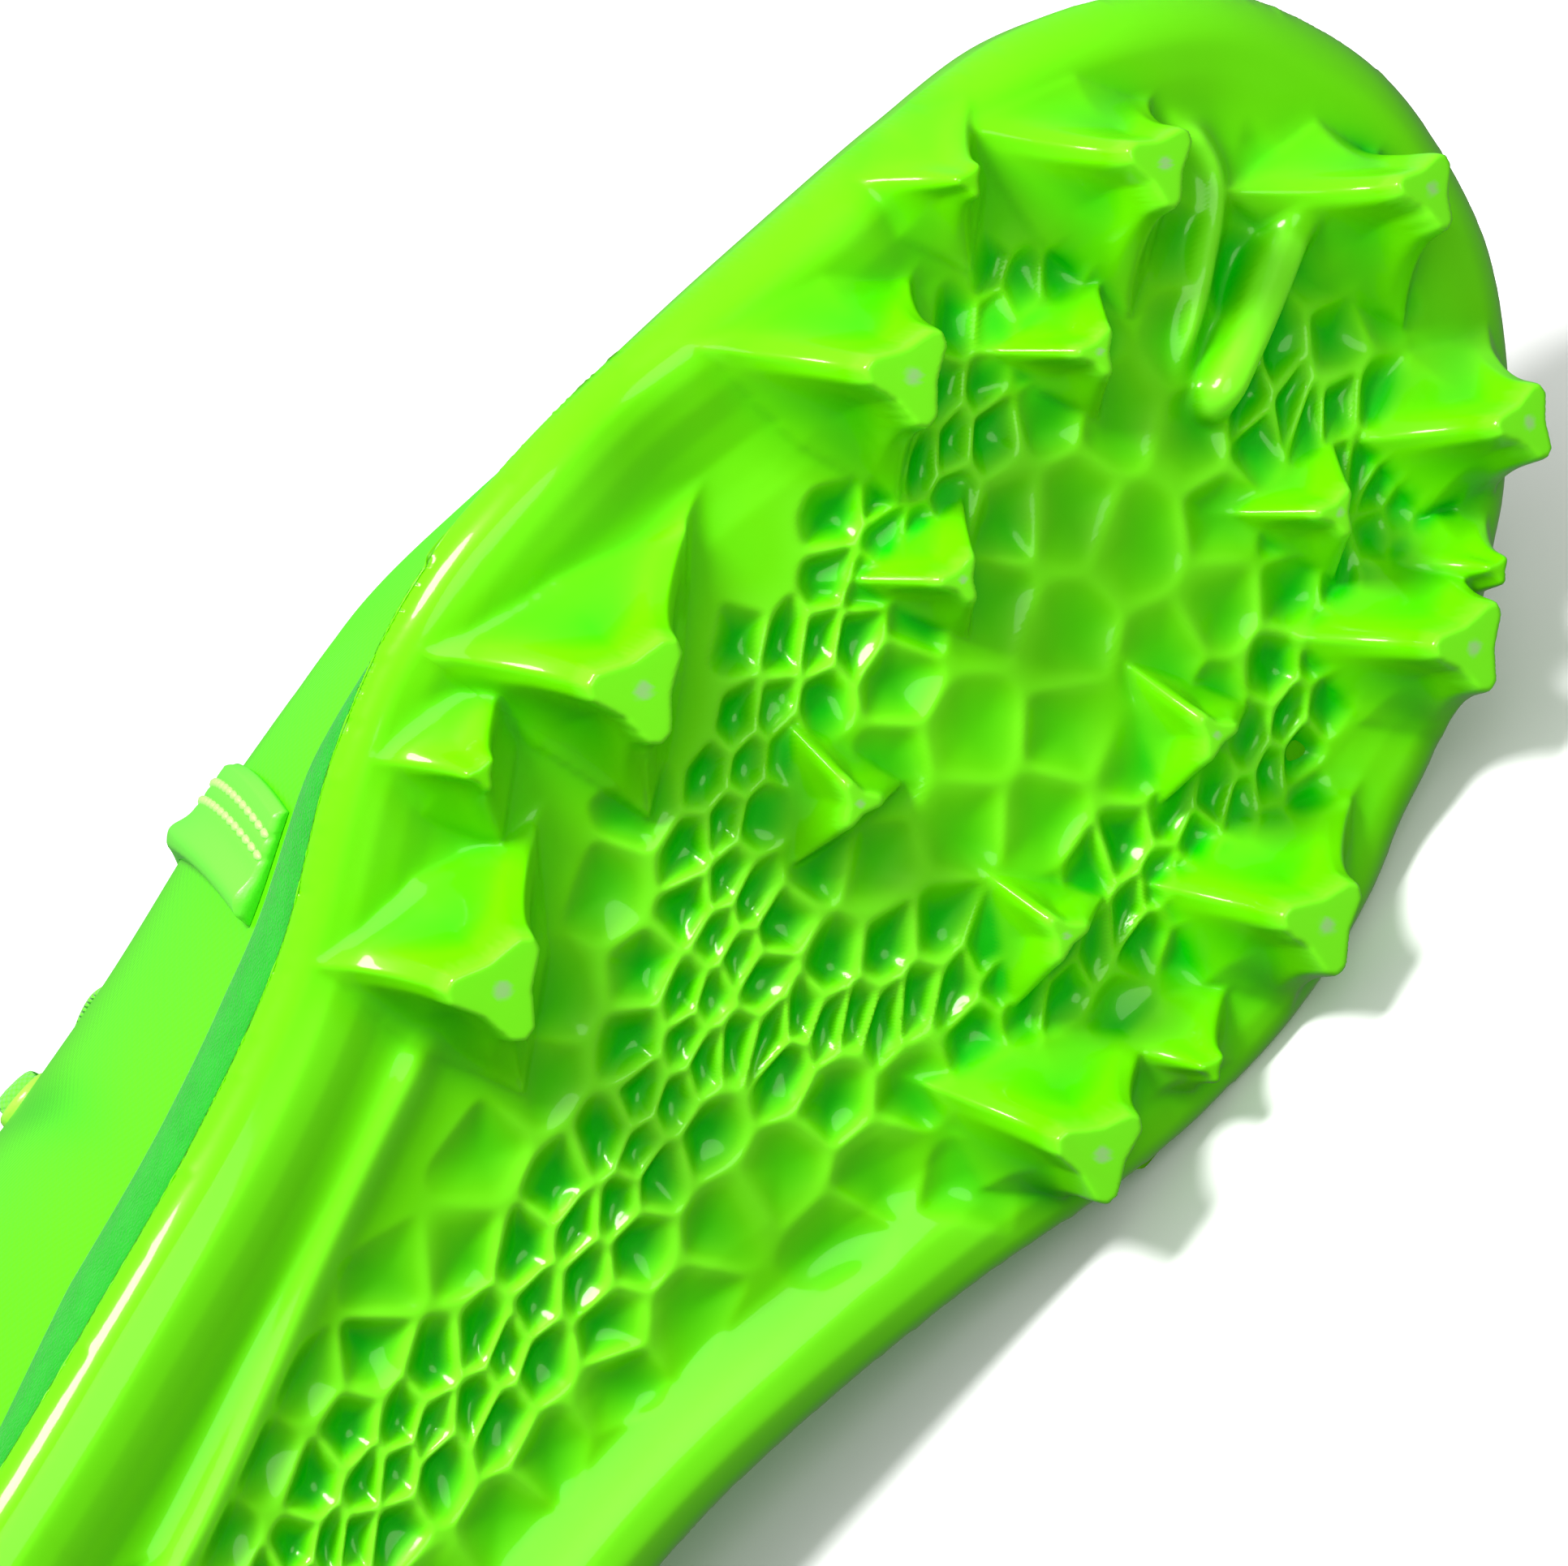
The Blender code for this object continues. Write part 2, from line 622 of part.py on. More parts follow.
def make_insole(collection):
    """The loose sock liner, inside the rand."""
    inset = MIDSOLE_INSET + max(RAND_WALL, UPPER_TUCK + UPPER_WALL) + 2 * FIT_GAP
    base = MIDSOLE_TOP + FIT_GAP
    rings = [
        ring(inset + UPPER_WALL / 2, base),
        ring(inset, base + INSOLE_THICKNESS / 2),
        ring(inset, base + INSOLE_THICKNESS),
    ]
    return stack_of_rings("insole", rings, collection)


def upper_point(side, rounds, up, out=0.0):
    """Points on the upper's outer face, or a distance out from it, by way round and way up."""
    rounds, up = np.broadcast_arrays(np.asarray(rounds, float), np.asarray(up, float))
    above, below = np.minimum(up + STEP, 1), np.maximum(up - STEP, 0)
    ahead, behind = np.minimum(rounds + STEP, 1), np.maximum(rounds - STEP, 0)
    higher = upper_face(side, rounds, above) - upper_face(side, rounds, below)
    further = upper_face(side, ahead, up) - upper_face(side, behind, up)
    normal = np.cross(further, higher) * side
    normal[..., 0] = np.where((rounds <= 0) | (rounds >= 1), 0, normal[..., 0])
    over_ridge = np.stack([np.zeros(up.shape), -further[..., 2], further[..., 1]], axis=-1)
    on_ridge = (rounds >= THROAT_END - EXACT) & (up >= 1)
    normal = np.where(on_ridge[..., None], over_ridge, normal)
    normal /= np.linalg.norm(normal, axis=-1, keepdims=True)
    return upper_face(side, rounds, up) + normal * np.asarray(out)[..., None]


def upper_face(side, rounds, up):
    """The upper's outer face: a curve from its lasted edge to the top line at each place."""
    inset = board_inset(rounds) + UPPER_TUCK
    foot, out = outline_at(side, rounds, inset)
    base = MIDSOLE_TOP + rand_rise(rounds) + FIT_GAP

    def column(name):
        return read_table(UPPER, UPPER_COLUMNS, name, rounds)

    half = np.where(rounds >= THROAT_END - EXACT, 0, np.maximum(column("half"), 0)) * BALL_WIDTH
    centre = column("centre") * BALL_WIDTH
    top = np.stack([centre + side * half, column("along") * SHOE_LENGTH], axis=-1)
    rise = column("heel_part") * HEEL_HEIGHT + column("instep_part") * INSTEP_HEIGHT
    height = rise - base
    crown = column("crown") * (OUTER_CROWN if side == OUTER else 1)
    low = foot + out * (column("bulge") * SIDE_BULGE)[..., None]
    lean_out = SIDE_BULGE / 2 * (1 - crown) ** 2
    high = top + (foot - top) * crown[..., None] + out * lean_out[..., None]
    corners = [
        np.concatenate([foot, base[..., None]], axis=-1),
        np.concatenate([low, (base + 0.5 * height)[..., None]], axis=-1),
        np.concatenate([high, (rise - column("drop") * height)[..., None]], axis=-1),
        np.concatenate([top, rise[..., None]], axis=-1),
    ]
    up = up[..., None]
    weights = [(1 - up) ** 3, 3 * up * (1 - up) ** 2, 3 * up**2 * (1 - up), up**3]
    return follow_underside(sum(weight * corner for weight, corner in zip(weights, corners)))


def wall_at(rounds, up):
    """Thickness of the upper: thicker where the collar is padded."""
    padding = read_pairs(PADDING_ROUND, rounds) * read_pairs(PADDING_UP, up)
    return UPPER_WALL + COLLAR_PADDING * padding


def make_upper(collection, cutters):
    """The hollow upper: outer and inner faces from one function, closed along both edges."""
    rows = np.linspace(0, 1, SIDE_ROWS + 1)
    loop = [(OUTER, share) for share in STATIONS] + [(INNER, share) for share in STATIONS[-2:0:-1]]
    points = []
    for side, share in loop:
        places = np.full(rows.shape, share)
        points += list(upper_point(side, places, rows))
        points += list(upper_point(side, places, rows[::-1], -wall_at(places, rows[::-1])))
    count, faces = 2 * len(rows), []
    for k, (_, share) in enumerate(loop):
        following = (k + 1) % len(loop)
        over_ridge = min(share, loop[following][1]) >= THROAT_END - EXACT
        here, there = k * count, following * count
        for row in range(count):
            if over_ridge and row == SIDE_ROWS:
                continue
            next_row = (row + 1) % count
            faces.append((here + row, there + row, there + next_row, here + next_row))
    upper = new_object("upper", points, faces, collection)
    join_all(upper, make_eyelet_cutters(cutters), "DIFFERENCE")
    return upper


def eyelet_places():
    """The eyelets' places round the upper, from the top of the throat to its front."""
    return np.linspace(*EYELET_SPAN, EYELET_PAIRS)


def eyelet_up(side, share):
    """How far up the side an eyelet lies, a fixed distance from the throat's edge."""
    rows = np.linspace(0.5, 1, SEARCH_STEPS)
    line = upper_face(side, np.full(rows.shape, share), rows)
    away = np.linalg.norm(line - line[-1], axis=-1)
    return float(np.interp(EYELET_INSET, away[::-1], rows[::-1]))


def make_eyelet_cutters(collection):
    """Short cylinders through the wall, one for each eyelet."""
    cutters = []
    for side in (OUTER, INNER):
        for number, share in enumerate(eyelet_places()):
            up = eyelet_up(side, share)
            inside = Vector(upper_point(side, share, up, -UPPER_WALL - EYELET_CUT))
            outside = Vector(upper_point(side, share, up, EYELET_CUT))
            model = bmesh.new()
            bmesh.ops.create_cone(
                model,
                cap_ends=True,
                segments=10,
                radius1=EYELET_DIAMETER / 2,
                radius2=EYELET_DIAMETER / 2,
                depth=(outside - inside).length,
            )
            mesh = bpy.data.meshes.new("eyelet")
            model.to_mesh(mesh)
            model.free()
            cutter = bpy.data.objects.new(f"eyelet_cutter_{side}_{number}", mesh)
            aim = (outside - inside).to_track_quat("Z", "Y").to_matrix().to_4x4()
            cutter.matrix_world = Matrix.Translation((outside + inside) / 2) @ aim
            cutter.hide_render = True
            cutter.display_type = "WIRE"
            collection.objects.link(cutter)
            cutters.append(cutter)
    return cutters


def sheet_between(name, outer_grid, inner_grid, collection):
    """A closed sheet from two grids of points of the same shape."""
    rows, columns = outer_grid.shape[:2]
    points = np.concatenate([outer_grid.reshape(-1, 3), inner_grid.reshape(-1, 3)])
    back = rows * columns
    faces = []
    for i in range(rows - 1):
        for j in range(columns - 1):
            corner = i * columns + j
            quad = (corner, corner + 1, corner + columns + 1, corner + columns)
            faces.append(quad)
            faces.append(tuple(back + index for index in reversed(quad)))
    border = [(0, j) for j in range(columns)]
    border += [(i, columns - 1) for i in range(1, rows)]
    border += [(rows - 1, j) for j in range(columns - 2, -1, -1)]
    border += [(i, 0) for i in range(rows - 2, 0, -1)]
    loop = [i * columns + j for i, j in border]
    for here, following in zip(loop, loop[1:] + loop[:1]):
        faces.append((here, following, back + following, back + here))
    return new_object(name, points, faces, collection)


def tongue_centre(share, drop):
    """A point of the tongue's middle line under the throat, a little above its edges."""
    sides = [upper_point(side, share, 1.0, -drop) for side in (OUTER, INNER)]
    width = np.linalg.norm(sides[0] - sides[1])
    return (sides[0] + sides[1]) / 2 + np.array([0, 0, width * TONGUE_CROWN])


def tongue_face(depth):
    """A grid over the tongue: rows from under the vamp to its free top, columns across it."""
    grid = []
    for share in np.linspace(*TONGUE_SPAN, TONGUE_ROWS):
        wall = float(wall_at(share - TONGUE_AHEAD, 1.0))
        drop = wall + FIT_GAP * 2 + depth
        outer = [upper_point(OUTER, share, up, -drop) for up in TONGUE_UPS]
        inner = [upper_point(INNER, share, up, -drop) for up in reversed(TONGUE_UPS)]
        grid.append(outer + [tongue_centre(share, drop)] + inner)
    across = grid[-1] - np.mean(grid[-1], axis=0)
    middle, reached = np.mean(grid[-1], axis=0), 0.0
    for part, lean, width in TONGUE_TOP:
        step = (part - reached) * TONGUE_STAND
        middle = middle + np.array([0, -cos(radians(lean)), sin(radians(lean))]) * step
        grid.append(middle + across * width)
        reached = part
    return np.array(grid)


def make_tongue(collection):
    """The padded tongue, tucked under both edges of the throat."""
    return sheet_between("tongue", tongue_face(0.0), tongue_face(TONGUE_THICKNESS), collection)


def lace_line(start, end):
    """The way of one crossing: out of an eyelet, over the throat's edges and to the other."""
    places = eyelet_places()
    (start_side, start_share), (end_side, end_share) = [(side, places[row]) for side, row in (start, end)]
    clear = LACE_DIAMETER / 2 + LACE_CLEARANCE
    turns = np.interp((LACE_TURN, 0.5, 1 - LACE_TURN), (0, 1), (start_share, end_share))
    line = np.array(
        [
            upper_point(start_side, start_share, eyelet_up(start_side, start_share), clear),
            upper_point(start_side, turns[0], 1.0, clear),
            tongue_centre(turns[1], 0.0) + np.array([0, 0, clear]),
            upper_point(end_side, turns[2], 1.0, clear),
            upper_point(end_side, end_share, eyelet_up(end_side, end_share), clear),
        ]
    )
    for end_point, neighbour in ((0, 1), (-1, -2)):
        way = line[end_point] - line[neighbour]
        line[end_point] += way / np.linalg.norm(way) * LACE_DIAMETER / 2
    return line


def make_lace(collection):
    """The lace's crossings over the tongue, joined where they meet."""
    ends = [((OUTER, EYELET_PAIRS - 1), (INNER, EYELET_PAIRS - 1))]
    for number in range(EYELET_PAIRS - 1):
        ends.append(((OUTER, number), (INNER, number + 1)))
        ends.append(((INNER, number), (OUTER, number + 1)))
    bars = [
        make_bar(f"lace_{number}", lace_line(start, end), LACE_DIAMETER / 2, collection)
        for number, (start, end) in enumerate(ends)
    ]
    join_all(bars[0], bars[1:])
    bars[0].name = "lace"
    return bars[0]


def make_bar(name, points, radius, collection):
    """A round bar along points, as a closed mesh."""
    curve = bpy.data.curves.new(name, "CURVE")
    curve.dimensions = "3D"
    curve.bevel_depth = radius
    curve.bevel_resolution = 1
    curve.use_fill_caps = True
    spline = curve.splines.new("POLY")
    spline.points.add(len(points) - 1)
    for place, point in zip(spline.points, points):
        place.co = (*point, 1)
    guide = bpy.data.objects.new(name + "_line", curve)
    collection.objects.link(guide)
    bpy.context.view_layer.update()
    graph = bpy.context.evaluated_depsgraph_get()
    mesh = bpy.data.meshes.new_from_object(guide.evaluated_get(graph))
    weld(mesh)
    bar = bpy.data.objects.new(name, mesh)
    bar.matrix_world = guide.matrix_world
    collection.objects.link(bar)
    bpy.data.objects.remove(guide)
    return bar


def make_band(name, side, line, collection):
    """A padded band that runs up one side of the upper, thinner along its edges."""
    ends = table_column(line, BAND_COLUMNS, "up")
    ups = np.linspace(ends[0], ends[-1], BAND_ROWS)
    middle = read_table(line, BAND_COLUMNS, "round", ups)
    across = np.linspace(-1, 1, BAND_ACROSS)
    places = middle[:, None] + across[None] * BAND_WIDTH / 2 / HALF_ROUND_LENGTH
    heights = np.broadcast_to(ups[:, None], places.shape)
    padding = BAND_THICKNESS * (1 - BAND_EDGE_LOSS * across**4)
    lift = np.broadcast_to(OVERLAY_GAP + padding[None], places.shape)
    outer = upper_point(side, places, heights, lift)
    inner = upper_point(side, places, heights, np.full(places.shape, OVERLAY_GAP))
    return sheet_between(name, outer, inner, collection)


def make_counter(collection):
    """The overlay round the heel, edge to edge, on the upper's own rows and stations."""
    rows = np.linspace(0, 1, SIDE_ROWS + 1)
    ends = table_column(COUNTER_EDGE, BAND_COLUMNS, "up")
    ups = rows[(rows > ends[0]) & (rows < ends[-1])]
    edge = read_table(COUNTER_EDGE, BAND_COLUMNS, "round", ups)
    shares = np.append(STATIONS[STATIONS < edge.max()], 1)
    places = np.minimum(shares[None], edge[:, None])
    heights = np.broadcast_to(ups[:, None], places.shape)
    grids = []
    for lift in (OVERLAY_GAP + COUNTER_THICKNESS, OVERLAY_GAP):
        lifts = np.full(places.shape, lift)
        outer = upper_point(OUTER, places, heights, lifts)
        inner = upper_point(INNER, places, heights, lifts)
        grids.append(np.concatenate([outer[:, ::-1], inner[:, 1:]], axis=1))
    return sheet_between("heel_counter", *grids, collection)


# Colour (linear) and roughness of each piece
MATERIALS = {
    "outsole": ((0.12, 0.84, 0.01, 1), 0.22),
    "midsole": ((0.02, 0.55, 0.05, 1), 0.80),
    "insole": ((0.10, 0.62, 0.04, 1), 0.85),
    "upper": ((0.16, 0.88, 0.02, 1), 0.35),
    "tongue": ((0.16, 0.80, 0.05, 1), 0.75),
    "lace": ((0.20, 0.90, 0.10, 1), 0.80),
    "band_lateral": ((0.22, 0.92, 0.10, 1), 0.55),
    "band_medial": ((0.22, 0.92, 0.10, 1), 0.55),
    "heel_counter": ((0.18, 0.88, 0.04, 1), 0.35),
}


def paint(piece):
    """Gives a piece its own material."""
    colour, roughness = MATERIALS[piece.name]
    material = bpy.data.materials.new(piece.name)
    material.use_nodes = True
    shader = material.node_tree.nodes["Principled BSDF"]
    shader.inputs["Base Color"].default_value = colour
    shader.inputs["Roughness"].default_value = roughness
    shader.inputs["Metallic"].default_value = 0.0
    piece.data.materials.clear()
    piece.data.materials.append(material)
    piece.data.shade_smooth()
    piece.data.set_sharp_from_angle(angle=SHARP_ANGLE)


def lay_down(pieces, collection):
    """Parents the pieces to an empty that lays the shoe on its inner side, origin under it."""
    on_side = Matrix(((0, 1, 0, 0), (0, 0, 1, 0), (1, 0, 0, 0), (0, 0, 0, 1)))
    turn = Matrix.Rotation(LIE_ROLL, 4, "X") @ Matrix.Rotation(LIE_YAW, 4, "Y") @ on_side
    corners = np.array([turn @ vertex.co for piece in pieces for vertex in piece.data.vertices])
    low, high = corners.min(axis=0), corners.max(axis=0)
    shoe = bpy.data.objects.new("football_cleat_lying", None)
    collection.objects.link(shoe)
    middle = (low + high) / 2
    shoe.matrix_world = Matrix.Translation((-middle[0], -middle[1], -low[2])) @ turn
    for piece in pieces:
        piece.parent = shoe


def main():
    for old in list(bpy.data.objects):
        bpy.data.objects.remove(old)
    parts = bpy.data.collections.new("football_cleat")
    cutters = bpy.data.collections.new("cutters")
    bpy.context.scene.collection.children.link(parts)
    bpy.context.scene.collection.children.link(cutters)
    pieces = [
        make_outsole(parts),
        make_midsole(parts),
        make_insole(parts),
        make_upper(parts, cutters),
        make_tongue(parts),
        make_lace(parts),
        make_band("band_lateral", OUTER, OUTER_BAND, parts),
        make_band("band_medial", INNER, INNER_BAND, parts),
        make_counter(parts),
    ]
    for piece in pieces:
        paint(piece)
    lay_down(pieces, parts)


main()
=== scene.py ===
"""Finish of a right football cleat that lies on its inner (big-toe) side.

The shoe's own axes are used for every shape, in millimetres: +X to the outer side of the
foot, +Y to the toe and +Z up, with z = 0 at the tips of the ball's studs. to_world() lays
these shapes down where the frame's solids lie.
"""

import json

from math import cos, pi, radians, sin, tan

import bmesh
import bpy
import numpy as np
from bpy.props import FloatProperty, FloatVectorProperty, PointerProperty
from bpy.types import Operator, Panel, PropertyGroup
from mathutils import Matrix, Vector


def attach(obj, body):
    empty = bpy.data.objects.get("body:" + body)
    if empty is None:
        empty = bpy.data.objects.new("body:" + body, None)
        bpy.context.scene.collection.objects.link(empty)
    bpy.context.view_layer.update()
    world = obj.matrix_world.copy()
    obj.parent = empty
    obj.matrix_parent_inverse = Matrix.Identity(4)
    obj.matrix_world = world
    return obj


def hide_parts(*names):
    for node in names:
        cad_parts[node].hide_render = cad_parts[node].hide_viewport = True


bl_info = {
    "name": "Football Cleat",
    "version": (1, 0, 0),
    "blender": (4, 5, 0),
    "location": "View3D > Sidebar > Cleat",
    "description": "Builds the finished pieces of a moulded football cleat",
    "category": "Add Mesh",
}

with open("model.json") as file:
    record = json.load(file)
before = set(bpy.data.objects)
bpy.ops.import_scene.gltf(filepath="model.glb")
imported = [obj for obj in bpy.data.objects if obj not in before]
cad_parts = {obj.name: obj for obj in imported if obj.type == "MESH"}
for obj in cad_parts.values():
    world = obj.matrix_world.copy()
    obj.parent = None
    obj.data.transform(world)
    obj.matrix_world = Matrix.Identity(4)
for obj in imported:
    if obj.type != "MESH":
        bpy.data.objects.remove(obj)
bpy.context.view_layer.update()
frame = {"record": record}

MM = 0.001
OUTER = 1
INNER = -1

# The smallest size that counts, a distance past all others, and the step over which slopes
# are read, as a share of the way round or up
EXACT = 1e-9
FAR = 1e3
STEP = 0.004

# Main sizes of the shoe
SHOE_LENGTH = 297.0
BALL_WIDTH = 104.0
HEEL_HEIGHT = 78.0
INSTEP_HEIGHT = 82.0
TOE_SPRING = 13.8
FIT_GAP = 0.3
PLATE_THICKNESS = 3.0
RIM_WALL = 2.0
RIM_ROUNDING = 0.42
BOARD_INSET = 0.8
TOE_RIM_HEIGHT = 11.5
MIDSOLE_THICKNESS = 3.5
RAND_HEIGHT = 5.2
RAND_WALL = 2.6
INSOLE_THICKNESS = 2.6
UPPER_WALL = 1.8
UPPER_TUCK = 1.2
COLLAR_PADDING = 4.0
SIDE_BULGE = 5.0
OUTER_CROWN = 0.84
LARGE_STUD_HEIGHT = 12.0
LIE_ROLL = radians(-6.66)
LIE_YAW = radians(-3.48)

# Half outline of the plate, heel to toe, as shares of length and of ball width
OUTLINE_COLUMNS = ("along", "outer", "inner")
OUTLINE = (
    (0.000, 0.020, 0.020),
    (0.008, 0.139, -0.100),
    (0.027, 0.228, -0.190),
    (0.060, 0.305, -0.266),
    (0.112, 0.341, -0.303),
    (0.200, 0.345, -0.300),
    (0.300, 0.335, -0.278),
    (0.400, 0.348, -0.271),
    (0.470, 0.372, -0.281),
    (0.530, 0.418, -0.312),
    (0.590, 0.500, -0.358),
    (0.654, 0.544, -0.422),
    (0.700, 0.536, -0.455),
    (0.748, 0.507, -0.465),
    (0.808, 0.463, -0.444),
    (0.868, 0.411, -0.402),
    (0.916, 0.354, -0.348),
    (0.952, 0.276, -0.285),
    (0.980, 0.180, -0.205),
    (0.994, 0.082, -0.115),
    (1.000, -0.020, -0.020),
)

# Underside: rise over the ball as a share of TOE_SPRING
UNDERSIDE_COLUMNS = ("along", "rise")
UNDERSIDE = (
    (0.00, 0.20),
    (0.05, 0.07),
    (0.12, 0.02),
    (0.30, 0.20),
    (0.45, 0.38),
    (0.58, 0.17),
    (0.67, 0.00),
    (0.78, 0.04),
    (0.86, 0.19),
    (0.93, 0.49),
    (1.00, 1.00),
)

# Edge of the layers, by the share of the way round: rim and rand heights and the tuck
EDGE_COLUMNS = ("round", "rim", "rand", "tuck")
EDGE = (
    (0.00, 0.85, 0.00, 1.00),
    (0.16, 0.75, 0.00, 1.00),
    (0.24, 0.25, 0.00, 1.00),
    (0.29, 0.00, 0.00, 1.00),
    (0.35, 0.00, 0.55, 0.40),
    (0.41, 0.00, 1.00, 0.00),
    (0.50, 0.00, 1.00, 0.00),
    (0.56, 0.00, 0.70, 0.35),
    (0.62, 0.00, 0.12, 1.00),
    (0.67, 0.20, 0.00, 1.00),
    (0.74, 0.45, 0.00, 1.00),
    (0.84, 0.75, 0.00, 1.00),
    (1.00, 1.00, 0.00, 1.00),
)
RIM_GAP = (0.29, 0.63)

# Roundness of the plate's lower edge in millimetres, from heel to toe
EDGE_RADII = (
    (0.00, 4.2),
    (0.20, 3.2),
    (0.28, 2.6),
    (0.62, 2.6),
    (0.72, 3.6),
    (0.85, 4.6),
    (1.00, 5.0),
)

# Upper, a row for each section round from heel to toe
UPPER_COLUMNS = (
    "round", "along", "centre", "half", "heel_part", "instep_part", "crown", "drop", "bulge"
)
UPPER = (
    (0.00, 0.030, 0.020, 0.000, 1.00, 0.000, 0.00, 0.36, 1.30),
    (0.06, 0.042, 0.020, 0.120, 0.985, 0.000, 0.00, 0.36, 1.25),
    (0.12, 0.076, 0.020, 0.220, 0.945, 0.000, 0.00, 0.36, 1.10),
    (0.20, 0.150, 0.020, 0.305, 0.85, 0.000, 0.02, 0.36, 0.90),
    (0.30, 0.250, 0.018, 0.320, 0.77, 0.000, 0.05, 0.34, 0.70),
    (0.38, 0.330, 0.012, 0.290, 0.60, 0.200, 0.10, 0.30, 0.70),
    (0.45, 0.405, 0.005, 0.225, 0.15, 0.770, 0.22, 0.24, 0.80),
    (0.50, 0.452, 0.000, 0.175, 0.00, 1.000, 0.30, 0.20, 0.90),
    (0.58, 0.530, -0.006, 0.150, 0.00, 0.890, 0.40, 0.12, 0.90),
    (0.66, 0.602, -0.012, 0.130, 0.00, 0.780, 0.46, 0.06, 0.80),
    (0.73, 0.660, -0.017, 0.095, 0.00, 0.680, 0.50, 0.02, 0.70),
    (0.78, 0.694, -0.020, 0.000, 0.00, 0.620, 0.52, 0.00, 0.60),
    (0.86, 0.760, -0.022, 0.000, 0.00, 0.540, 0.55, 0.03, 0.55),
    (0.93, 0.822, -0.022, 0.000, 0.00, 0.478, 0.57, 0.08, 0.50),
    (1.00, 0.870, -0.020, 0.000, 0.00, 0.435, 0.60, 0.17, 0.45),
)
THROAT_END = 0.78

# How much less the outer side bulges than the solid's, in units of SIDE_BULGE
OUTER_SLIM = ((0.42, 0.0), (0.50, 1.1), (0.60, 1.6), (0.70, 1.4), (0.80, 0.2), (0.86, 0.0))

# Share of the collar's padding by the way round and by the way up
PADDING_ROUND = ((0.44, 1.0), (0.52, 0.0))
PADDING_UP = ((0.62, 0.0), (0.82, 1.0), (0.95, 1.0), (1.0, 0.83))

# Studs: place, turn in degrees, reach of each arm and size of the tip
STUD_COLUMNS = ("kind", "along", "across", "turn", "outer_arm", "toe_arm", "inner_arm", "tip")
STUDS = (
    ("large", 0.896, 0.228, 8, 1.06, 0.62, 0.96, 0.78),
    ("large", 0.950, -0.036, -2, 1.04, 0.42, 0.84, 0.76),
    ("large", 0.791, 0.326, 0, 1.10, 0.66, 0.92, 0.92),
    ("large", 0.662, 0.362, -3, 1.10, 1.06, 1.06, 1.00),
    ("large", 0.563, 0.286, -8, 0.92, 0.94, 1.00, 1.00),
    ("large", 0.915, -0.250, -12, 0.76, 0.72, 0.50, 0.74),
    ("large", 0.847, -0.323, -4, 0.86, 0.70, 0.72, 0.84),
    ("large", 0.746, -0.356, 5, 0.84, 0.94, 0.68, 0.92),
    ("large", 0.645, -0.305, 10, 0.94, 0.88, 0.50, 0.92),
    ("large", 0.245, 0.205, -4, 0.90, 0.85, 0.85, 0.95),
    ("large", 0.095, 0.185, -8, 0.80, 0.85, 0.85, 0.95),
    ("large", 0.245, -0.170, 4, 0.85, 0.85, 0.85, 0.95),
    ("large", 0.095, -0.145, 8, 0.85, 0.85, 0.78, 0.95),
    ("small", 0.843, 0.154, -8, 1.00, 1.00, 1.00, 1.00),
    ("small", 0.757, 0.139, -12, 1.00, 1.00, 1.00, 1.00),
    ("small", 0.681, 0.091, 48, 1.00, 1.00, 1.00, 1.00),
    ("small", 0.857, -0.152, -8, 1.00, 1.00, 1.00, 1.00),
    ("small", 0.774, -0.173, 38, 1.15, 1.00, 1.00, 1.00),
    ("small", 0.692, -0.165, 35, 1.00, 1.00, 1.10, 1.00),
    ("edge", 0.855, 0.366, -6, 0.72, 0.90, 0.95, 1.00),
    ("edge", 0.612, 0.414, -10, 0.80, 0.90, 1.00, 1.00),
    ("edge", 0.878, -0.328, 0, 0.76, 0.66, 0.40, 0.90),
    ("edge", 0.690, -0.370, 0, 0.80, 0.80, 0.42, 0.90),
    ("edge", 0.170, 0.262, 0, 0.60, 0.80, 0.80, 1.00),
    ("edge", 0.170, -0.226, 0, 0.80, 0.80, 0.60, 1.00),
)
STUD_ARMS = ("outer_arm", "toe_arm", "inner_arm")
MOUNT_STUD = 3

# Kinds of stud: sizes and fillet in millimetres, and how quickly the arms draw in to the tip
STUD_KIND_COLUMNS = ("height", "reach", "tip", "sweep", "fillet")
STUD_KINDS = {
    "large": (LARGE_STUD_HEIGHT, 15.5, 6.0, 2.0, 2.2),
    "small": (6.5, 7.8, 2.6, 1.1, 1.0),
    "edge": (7.6, 10.5, 2.0, 2.0, 1.0),
}

# Star of a stud at its root, as shares of its reach, and at its tip, as shares of the tip
ROOT_VALLEY = 0.60
TIP_VALLEY = 0.56
ROOT_FLANK = 0.10
TIP_FLANK = 0.26
ARM_SHOULDER = 0.86
VALLEY_SWEEP = 2.8

# How a stud is sampled, how it goes under the plate round its root, and where on it the tip's
# seam, the moulding dot and the foot lie, as shares of its height or of the tip
STUD_LEVELS = 41
STUD_BEARINGS = 721
STUD_BORDER = 6.0
STUD_SINK = 0.05
STUD_FALL = 0.06
TIP_SEAM = (0.80, 0.84)
GATE_SIZES = (0.17, 0.12)
STUD_FOOT = (-0.02, 0.12)

